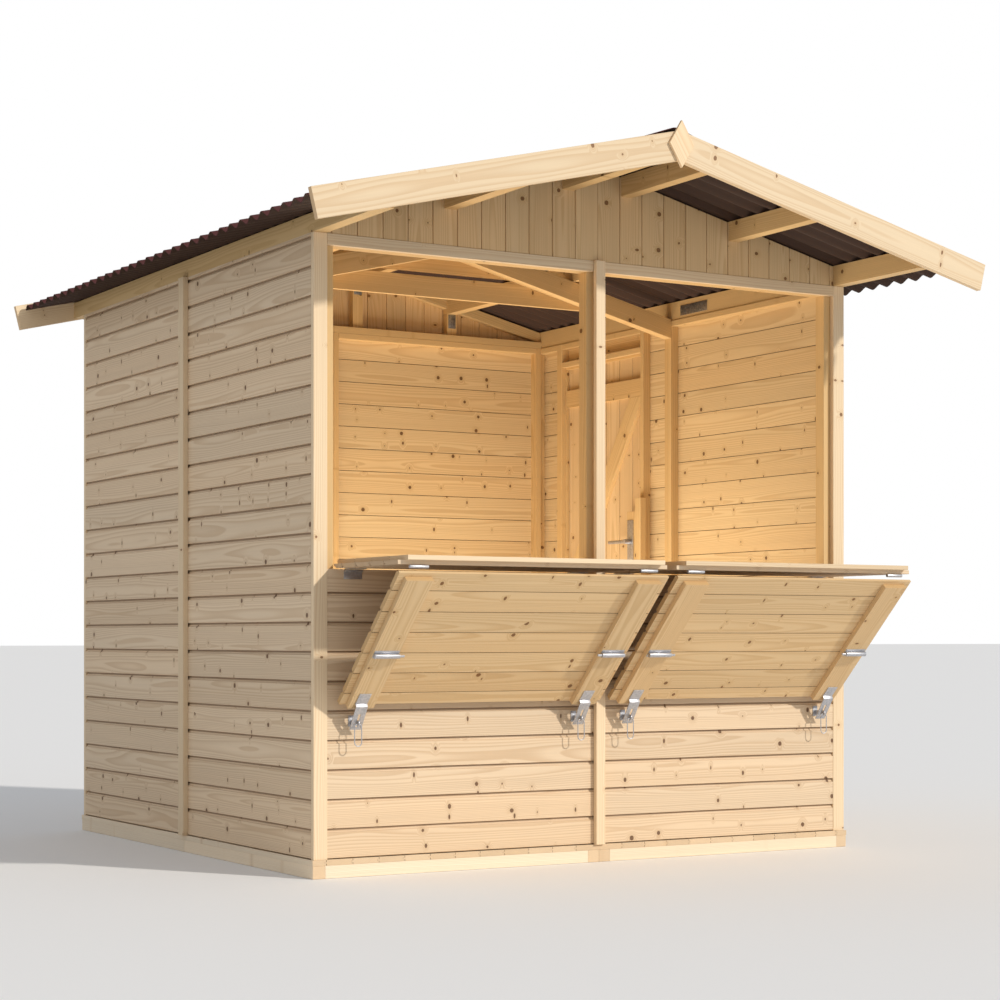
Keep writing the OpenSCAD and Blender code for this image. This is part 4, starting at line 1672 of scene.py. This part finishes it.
@dataclass(frozen=True)
class Studio:
    """Camera, soft daylight and a plain pale floor."""

    place: tuple[float, float, float] = (-3.9326, -6.9880, 0.7304)
    turn: float = math.radians(-30.7285)
    lens: float = 78.84
    shift: float = 0.13815
    sun_to: tuple[float, float, float] = (0.60, -1.0, 0.61)
    sun_power: float = 2.4
    sun_angle: float = math.radians(2.5)
    sky: str = "f0f4fb"
    sky_power: float = 0.56
    sun_colour: tuple[float, float, float] = (1.0, 0.955, 0.89)
    room_power: float = 34.0
    room_size: Point = (1.6, 1.5)
    room_colour: tuple[float, float, float] = (1.0, 0.97, 0.86)
    room_place: tuple[float, float, float] = (0, 0, 0.25)
    floor_size: float = 200.0
    floor_z: float = -0.5 * MM
    floor_colour: str = "f2f1ef"

    def camera(self) -> None:
        """Sets up the camera."""
        data = bpy.data.cameras.new("camera")
        data.lens = self.lens
        data.sensor_width = 36
        data.shift_y = self.shift
        camera = bpy.data.objects.new("camera", data)
        camera.location = self.place
        camera.rotation_euler = (math.pi / 2, 0, self.turn)
        bpy.context.scene.collection.objects.link(camera)
        bpy.context.scene.camera = camera

    def light(self) -> None:
        """Sets up the daylight, and a soft lamp that stands in for light thrown back inside."""
        sun = bpy.data.lights.new("sun", "SUN")
        sun.energy = self.sun_power
        sun.angle = self.sun_angle
        sun.color = self.sun_colour
        lamp = bpy.data.objects.new("sun", sun)
        lamp.rotation_euler = Vector(self.sun_to).to_track_quat("Z", "Y").to_euler()
        bpy.context.scene.collection.objects.link(lamp)
        fill = bpy.data.lights.new("room fill", "AREA")
        fill.shape = "RECTANGLE"
        fill.size, fill.size_y = self.room_size
        fill.energy = self.room_power
        fill.color = self.room_colour
        soft = bpy.data.objects.new("room fill", fill)
        soft.location = self.room_place
        soft.rotation_euler = (math.pi, 0, 0)
        soft.visible_camera = False
        bpy.context.scene.collection.objects.link(soft)
        self.backdrop()

    def backdrop(self) -> None:
        """Sets up the soft light from all round and the white paper behind the hut."""
        world = bpy.data.worlds.new("paper backdrop")
        world.use_nodes = True
        tree = world.node_tree
        back = tree.nodes["Background"]
        back.inputs[0].default_value = linear(self.sky)
        back.inputs[1].default_value = self.sky_power
        paper = tree.nodes.new("ShaderNodeBackground")
        paper.inputs[0].default_value = (1.0, 1.0, 1.0, 1.0)
        seen = tree.nodes.new("ShaderNodeLightPath")
        mix = tree.nodes.new("ShaderNodeMixShader")
        tree.links.new(seen.outputs["Is Camera Ray"], mix.inputs[0])
        tree.links.new(back.outputs[0], mix.inputs[1])
        tree.links.new(paper.outputs[0], mix.inputs[2])
        tree.links.new(mix.outputs[0], tree.nodes["World Output"].inputs["Surface"])
        bpy.context.scene.world = world
        bpy.context.scene.view_settings.view_transform = "Standard"

    def floor(self) -> None:
        """Lays the floor."""
        bm = bmesh.new()
        bmesh.ops.create_grid(bm, x_segments=1, y_segments=1, size=self.floor_size)
        bmesh.ops.translate(bm, verts=bm.verts, vec=(0, 0, self.floor_z))
        # Matt paper, which shows soft shadows and no gloss
        material = Shader("matt pale paper").finish(linear(self.floor_colour), 0.9, 0.0, None, 0.0)
        to_object(bm, "studio_floor", material, weighted=False)


def main() -> None:
    """Builds the scene."""
    logging.basicConfig(level=logging.INFO, format="%(message)s")
    studio = Studio()
    studio.camera()
    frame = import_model()
    finishes = Finishes()
    Cladding().build(finishes)
    Gables().build(finishes)
    PlainTimber().build(frame, finishes)
    Floor().build(finishes)
    Roof().build(finishes)
    Hatches().build(finishes)
    Door().build(finishes)
    Fittings(frame["nodes"], finishes).build()
    studio.light()
    studio.floor()


if __name__ == "__main__":
    main()
